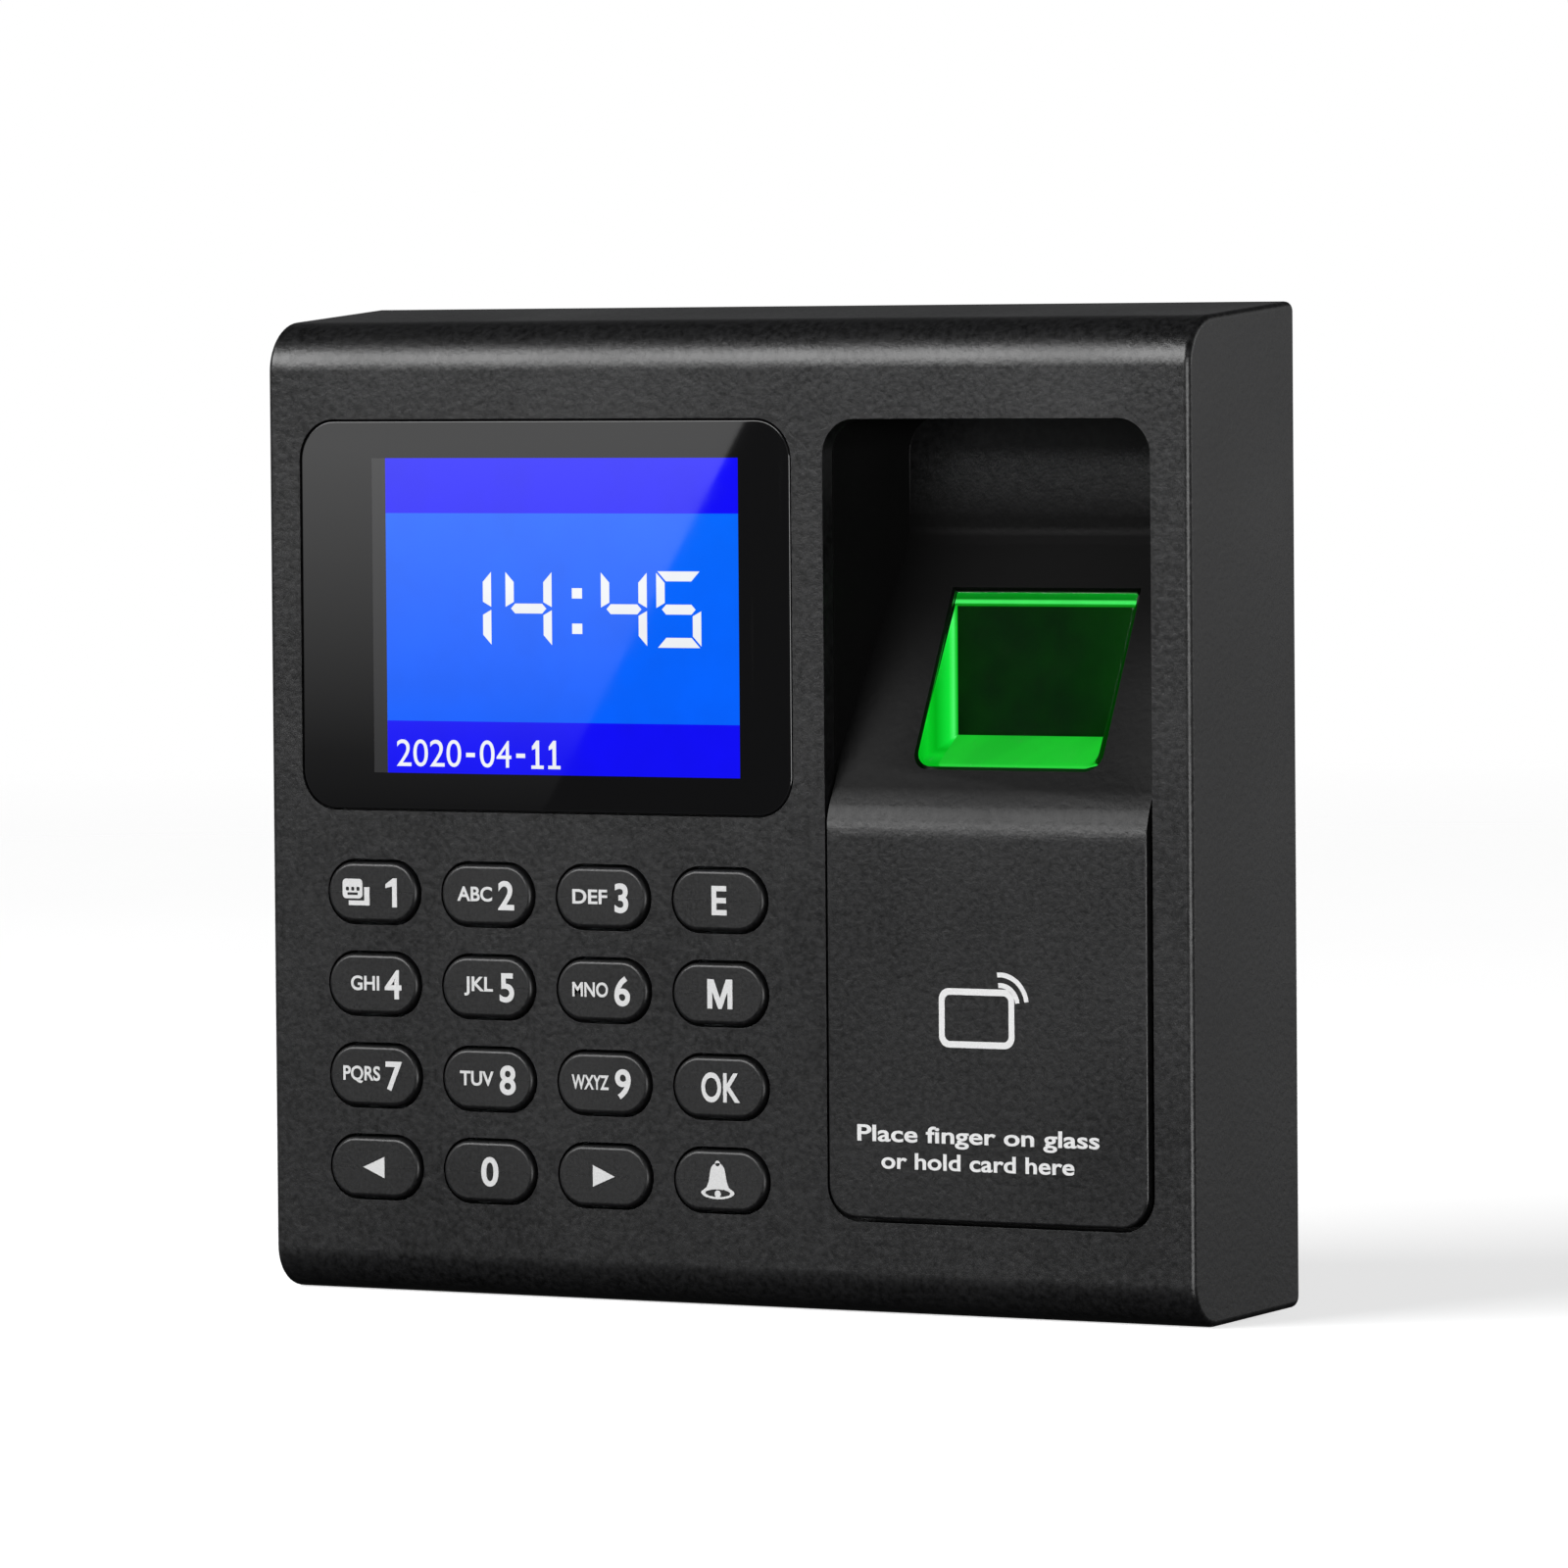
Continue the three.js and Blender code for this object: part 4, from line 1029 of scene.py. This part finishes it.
# ---- Keys ----
KEY_FACE = -0.55
SMALL = {  # the small letters and how wide they run
    "key_2": ("ABC", 4.85),
    "key_3": ("DEF", 4.8),
    "key_4": ("GHI", 4.0),
    "key_5": ("JKL", 4.0),
    "key_6": ("MNO", 4.9),
    "key_7": ("PQRS", 5.2),
    "key_8": ("TUV", 4.7),
    "key_9": ("WXYZ", 5.1),
}
PLAIN = {"key_e": "E", "key_ok": "OK", "key_0": "0"}


def build_keys():
    w, h = KEY_W - 2 * KEY_GAP, KEY_H - 2 * KEY_GAP
    model = rounded_block("key_model", (-w / 2, w / 2), (KEY_FACE, 3.1), (-h / 2, h / 2), h / 2 * 0.998, 14)
    round_edges(model, 0.5, 6, lambda c, way: abs(c.y - KEY_FACE) < 0.01 and abs(way.y) < 0.1)
    cleaned(model, 0.001)
    soften(model, 0)
    for key in KEYS:
        x, z = key_place(key)
        cap = model.copy()
        cap.data = model.data.copy()
        cap.name = key + "_cap"
        bpy.context.scene.collection.objects.link(cap)
        cap.location = Vector((x, 0, z)) * MM
        settle(cap)
        body = key + "_button"
        mount(cap, satin_key, body, [key])
        for legend in key_legend(key, x, z):
            mount(legend, white_ink, body)
    bpy.data.objects.remove(model, do_unlink=True)


def figure_one(left, low, height, width, stroke):
    """The outline of a 1 with a flag."""
    right, top = left + width, low + height
    return [
        (right - stroke, low),
        (right - stroke, top - 0.28 * height),
        (left, top - 0.34 * height),
        (left, top - 0.21 * height),
        (right - stroke * 0.8, top),
        (right, top),
        (right, low),
    ]


def letter_m(left, low, height, width, stroke):
    """The outline of a capital M."""
    right, top, middle = left + width, low + height, left + width / 2
    return [
        (left, low),
        (left + stroke, low),
        (left + stroke, top - 0.42 * height),
        (middle - 0.36 * stroke, low),
        (middle + 0.36 * stroke, low),
        (right - stroke, top - 0.42 * height),
        (right - stroke, low),
        (right, low),
        (right, top),
        (right - 1.3 * stroke, top),
        (middle, low + 0.36 * height),
        (left + 1.3 * stroke, top),
        (left, top),
    ]


def bell_outline(x, z):
    dome = arc(x, z + 0.95, 1.0, 165, 15, 14, 1.1)
    right = [(x + 1.22, z - 0.1), (x + 1.5, z - 0.75), (x + 2.15, z - 1.2)]
    rim = arc(x, z - 1.35, 2.25, 8, -188, 24, 0.34)
    left = [(x - 2.15, z - 1.2), (x - 1.5, z - 0.75), (x - 1.22, z - 0.1)]
    return dome + right + rim + left


def key_legend(key, x, z):
    made = []
    digit = key[4:]
    if key == "key_1":
        made.append(flat_shape("key_1_digit", [figure_one(x + 1.9, z - 1.7, 3.4, 1.6, 0.66)], KEY_FACE, 0.04))
        front = rounded_outline(x - 4.15, x - 1.35, z - 0.75, z + 1.55, 0.5)
        lefts = [x - 3.7 + i * 0.75 for i in range(3)]
        marks = [rounded_outline(left, left + 0.45, z + 0.15, z + 0.6, 0.12) for left in lefts]
        bar = rounded_outline(x - 3.5, x - 2.0, z - 0.35, z - 0.05, 0.1)
        behind = [
            (x - 1.1, z + 0.6),
            (x - 0.35, z + 0.6),
            (x - 0.35, z - 1.55),
            (x - 3.3, z - 1.55),
            (x - 3.3, z - 1.0),
            (x - 1.1, z - 1.0),
        ]
        made.append(flat_shape("key_1_icon", [front, *marks, bar, behind], KEY_FACE, 0.04))
    elif digit.isdigit() and key != "key_0":
        shape = lettering(
            key + "_digit", "6" if digit == "9" else digit, 3.4, x + 2.85, z, KEY_FACE, bold=0.1
        )
        if digit == "9":  # a 6 turned upside down
            shape.location = Vector((2 * (x + 2.85), 0, 2 * z)) * MM
            shape.rotation_euler = (0, math.pi, 0)
            settle(shape)
        made.append(shape)
    if key in SMALL:
        small, wide = SMALL[key]
        made.append(
            lettering(
                key + "_letters", small, 1.7, x + 0.9, z + 0.1, KEY_FACE, bold=0.05, align="RIGHT", span=wide
            )
        )
    if key in PLAIN:
        wide = {"key_ok": 5.25, "key_0": 2.4}.get(key)
        made.append(
            lettering(key + "_letter", PLAIN[key], 3.4, x + 0.25, z, KEY_FACE, bold=0.1, span=wide)
        )
    if key == "key_m":
        made.append(flat_shape("key_m_letter", [letter_m(x - 1.45, z - 1.7, 3.4, 3.4, 0.66)], KEY_FACE, 0.04))
    if key in ("key_left", "key_right"):
        side = -1 if key == "key_left" else 1
        points = [(x + side * 1.6, z), (x - side * 1.4, z + 1.25), (x - side * 1.4, z - 1.25)]
        made.append(flat_shape(key + "_arrow", [points if side < 0 else points[::-1]], KEY_FACE, 0.04))
    if key == "key_bell":
        mouth = arc(x - 0.25, z - 1.42, 1.7, 0, -354, 28, 0.26)
        knob = arc(x - 0.25, z + 2.0, 0.34, 0, 345, 14)
        made.append(flat_shape("key_bell_sign", [bell_outline(x - 0.25, z), mouth, knob], KEY_FACE, 0.04))
        clapper = arc(x - 0.25, z - 1.5, 0.42, 0, 345, 14)
        made.append(flat_shape("key_bell_clapper", [clapper], KEY_FACE, 0.05))
    return made


# ---- Printing on the panel ----
def print_panel():
    face = -PANEL_PROUD
    frame_line = [
        rounded_outline(29.6, 39.55, -25.2, -18.45, 1.3),
        rounded_outline(30.35, 38.8, -24.45, -19.2, 0.7)[::-1],
    ]
    mount(flat_shape("card_sign_frame", frame_line, face, 0.04), panel_ink)
    for i, radius in enumerate((2.3, 3.5)):
        wave = arc(37.7, -20.3, radius + 0.28, 8, 96) + arc(37.7, -20.3, radius - 0.28, 96, 8)
        mount(flat_shape(f"card_sign_wave_{i + 1}", [wave], face, 0.04), panel_ink)
    lines = [("Place finger on glass", 34.6, -35.5, 32.0), ("or hold card here", 34.55, -38.3, 25.5)]
    for i, (words, x, z, span) in enumerate(lines):
        text = lettering(f"panel_line_{i + 1}", words, 1.9, x, z, face, bold=0.05, span=span)
        mount(text, panel_ink)


# ---- Screen ----
def build_screen():
    lens = rounded_block(
        "screen_lens",
        (WINDOW["left"] + 0.2, WINDOW["right"] - 0.2),
        (0.05, 1.6),
        (WINDOW["low"] + 0.2, WINDOW["high"] - 0.2),
        WINDOW["round"] - 0.2,
        14,
    )
    round_edges(lens, 0.2, 3, lambda c, way: abs(c.y - 0.05) < 0.01 and abs(way.y) < 0.1)
    soften(lens, 0)
    mount(lens, window_black, stands_for=["screen_window"])
    face = 0.045
    left, right = -45.9, 2.8
    bands = [
        ("display_top_bar", 35.24, 41.65, deep_blue),
        ("display_middle", 11.0, 35.24, azure),
        ("display_bottom_bar", 4.9, 11.0, deep_blue),
    ]
    for name, low, high, finish in bands:
        band = block(name, (left, right), (face, 0.2), (low, high))
        mount(band, finish)
    strip = block("display_unlit_edge", (-47.8, left), (face, 0.2), (4.9, 41.65))
    mount(strip, unlit_strip)
    build_clock(face - 0.005)
    for i, character in enumerate("2020-04-11"):
        place = -43.6 + 2.33 * i
        name = f"display_date_{i + 1}"
        if character == "1":
            foot = [(place - 0.85, 6.0), (place - 0.85, 5.6), (place + 0.85, 5.6), (place + 0.85, 6.0)]
            shapes = [figure_one(place - 0.75, 5.6, 3.3, 1.0, 0.5), foot]
            mark = flat_shape(name, [shapes[0]], face - 0.005, 0.01)
            serif = flat_shape(name + "_foot", [shapes[1]], face - 0.005, 0.012)
            mount(serif, display_white)
        elif character == "-":
            bar = [(place - 0.62, 6.85), (place + 0.62, 6.85), (place + 0.62, 7.35), (place - 0.62, 7.35)]
            mark = flat_shape(name, [bar], face - 0.005, 0.01)
        else:
            mark = lettering(name, character, 3.3, place, 7.25, face - 0.005, 0.01, span=2.05)
        mount(mark, display_white)


SEGMENTS = {
    "0": "abcdef",
    "1": "bc",
    "4": "fgbc",
    "5": "afgcd",
}


def digit_segments(left, right, low, high, stroke, which):
    """Outlines of the lit strokes of a seven-stroke digit, with mitred ends and small gaps."""
    mid = (low + high) / 2
    s, g = stroke, 0.18
    outlines = {
        "a": [(left + g, high), (right - g, high), (right - s - g, high - s), (left + s + g, high - s)],
        "d": [(left + g, low), (left + s + g, low + s), (right - s - g, low + s), (right - g, low)],
        "b": [(right, high - g), (right, mid + g), (right - s, mid + s / 2 + g), (right - s, high - s - g)],
        "c": [(right, low + g), (right - s, low + s + g), (right - s, mid - s / 2 - g), (right, mid - g)],
        "f": [(left, high - g), (left + s, high - s - g), (left + s, mid + s / 2 + g), (left, mid + g)],
        "e": [(left, low + g), (left, mid - g), (left + s, mid - s / 2 - g), (left + s, low + s + g)],
        "g": [
            (left + s / 2 + g, mid),
            (left + s + g, mid + s / 2),
            (right - s - g, mid + s / 2),
            (right - s / 2 - g, mid),
            (right - s - g, mid - s / 2),
            (left + s + g, mid - s / 2),
        ],
    }
    return [outlines[k] for k in which]


def build_clock(depth):
    low, high = 19.8, 28.6
    outlines = []
    outlines += digit_segments(-37.6, -31.2, low, high, 1.15, SEGMENTS["1"])
    outlines += digit_segments(-29.2, -22.8, low, high, 1.15, SEGMENTS["4"])
    outlines += digit_segments(-16.0, -9.7, low, high, 1.15, SEGMENTS["4"])
    outlines += digit_segments(-8.4, -2.3, low, high, 1.15, SEGMENTS["5"])
    for z in (26.0, 21.9):
        outlines.append([(-20.0, z - 0.6), (-18.6, z - 0.6), (-18.6, z + 0.6), (-20.0, z + 0.6)])
    clock = flat_shape("display_clock", outlines, depth, 0.01)
    mount(clock, display_white)


for node in frame["record"]["subparts"]:
    obj = frame["nodes"][node["node"]]
    dress(obj, SLOT_FINISHES[node["material_slot"]])

REFINED = {
    "rear_cover": (0.25, satin_case, "case_plastic"),
    "wall_bracket": (0.2, bracket_zinc, "bracket_steel"),
    "lock_screw": (0.12, screw_zinc, "screw_steel"),
    "lock_relay": (0.4, SLOT_FINISHES["relay_blue"], "relay_blue"),
    "terminal_block": (0.2, SLOT_FINISHES["terminal_green"], "terminal_green"),
    "speaker": (0.3, black_moulding, "black_plastic"),
    "buzzer": (0.3, black_moulding, "black_plastic"),
    "battery_holder": (0.2, black_moulding, "black_plastic"),
    "coin_battery": (0.3, SLOT_FINISHES["battery_steel"], "battery_steel"),
}
for number in range(1, 5):
    REFINED[f"case_screw_{number}"] = (0.1, screw_zinc, "screw_steel")
POCKETED = ["terminal_block", "lock_screw"] + [f"case_screw_{number}" for number in range(1, 5)]


def build_back():
    for node, (width, material, slot) in REFINED.items():
        piece = refined(node, width, pocketed=node in POCKETED)
        mount(piece, material, stands_for=[node])


camera = place_camera()
light_studio()
lay_floor()
stand_reflector(camera)
build_case()
build_panel()
build_sensor()
build_keys()
build_screen()
print_panel()
build_back()
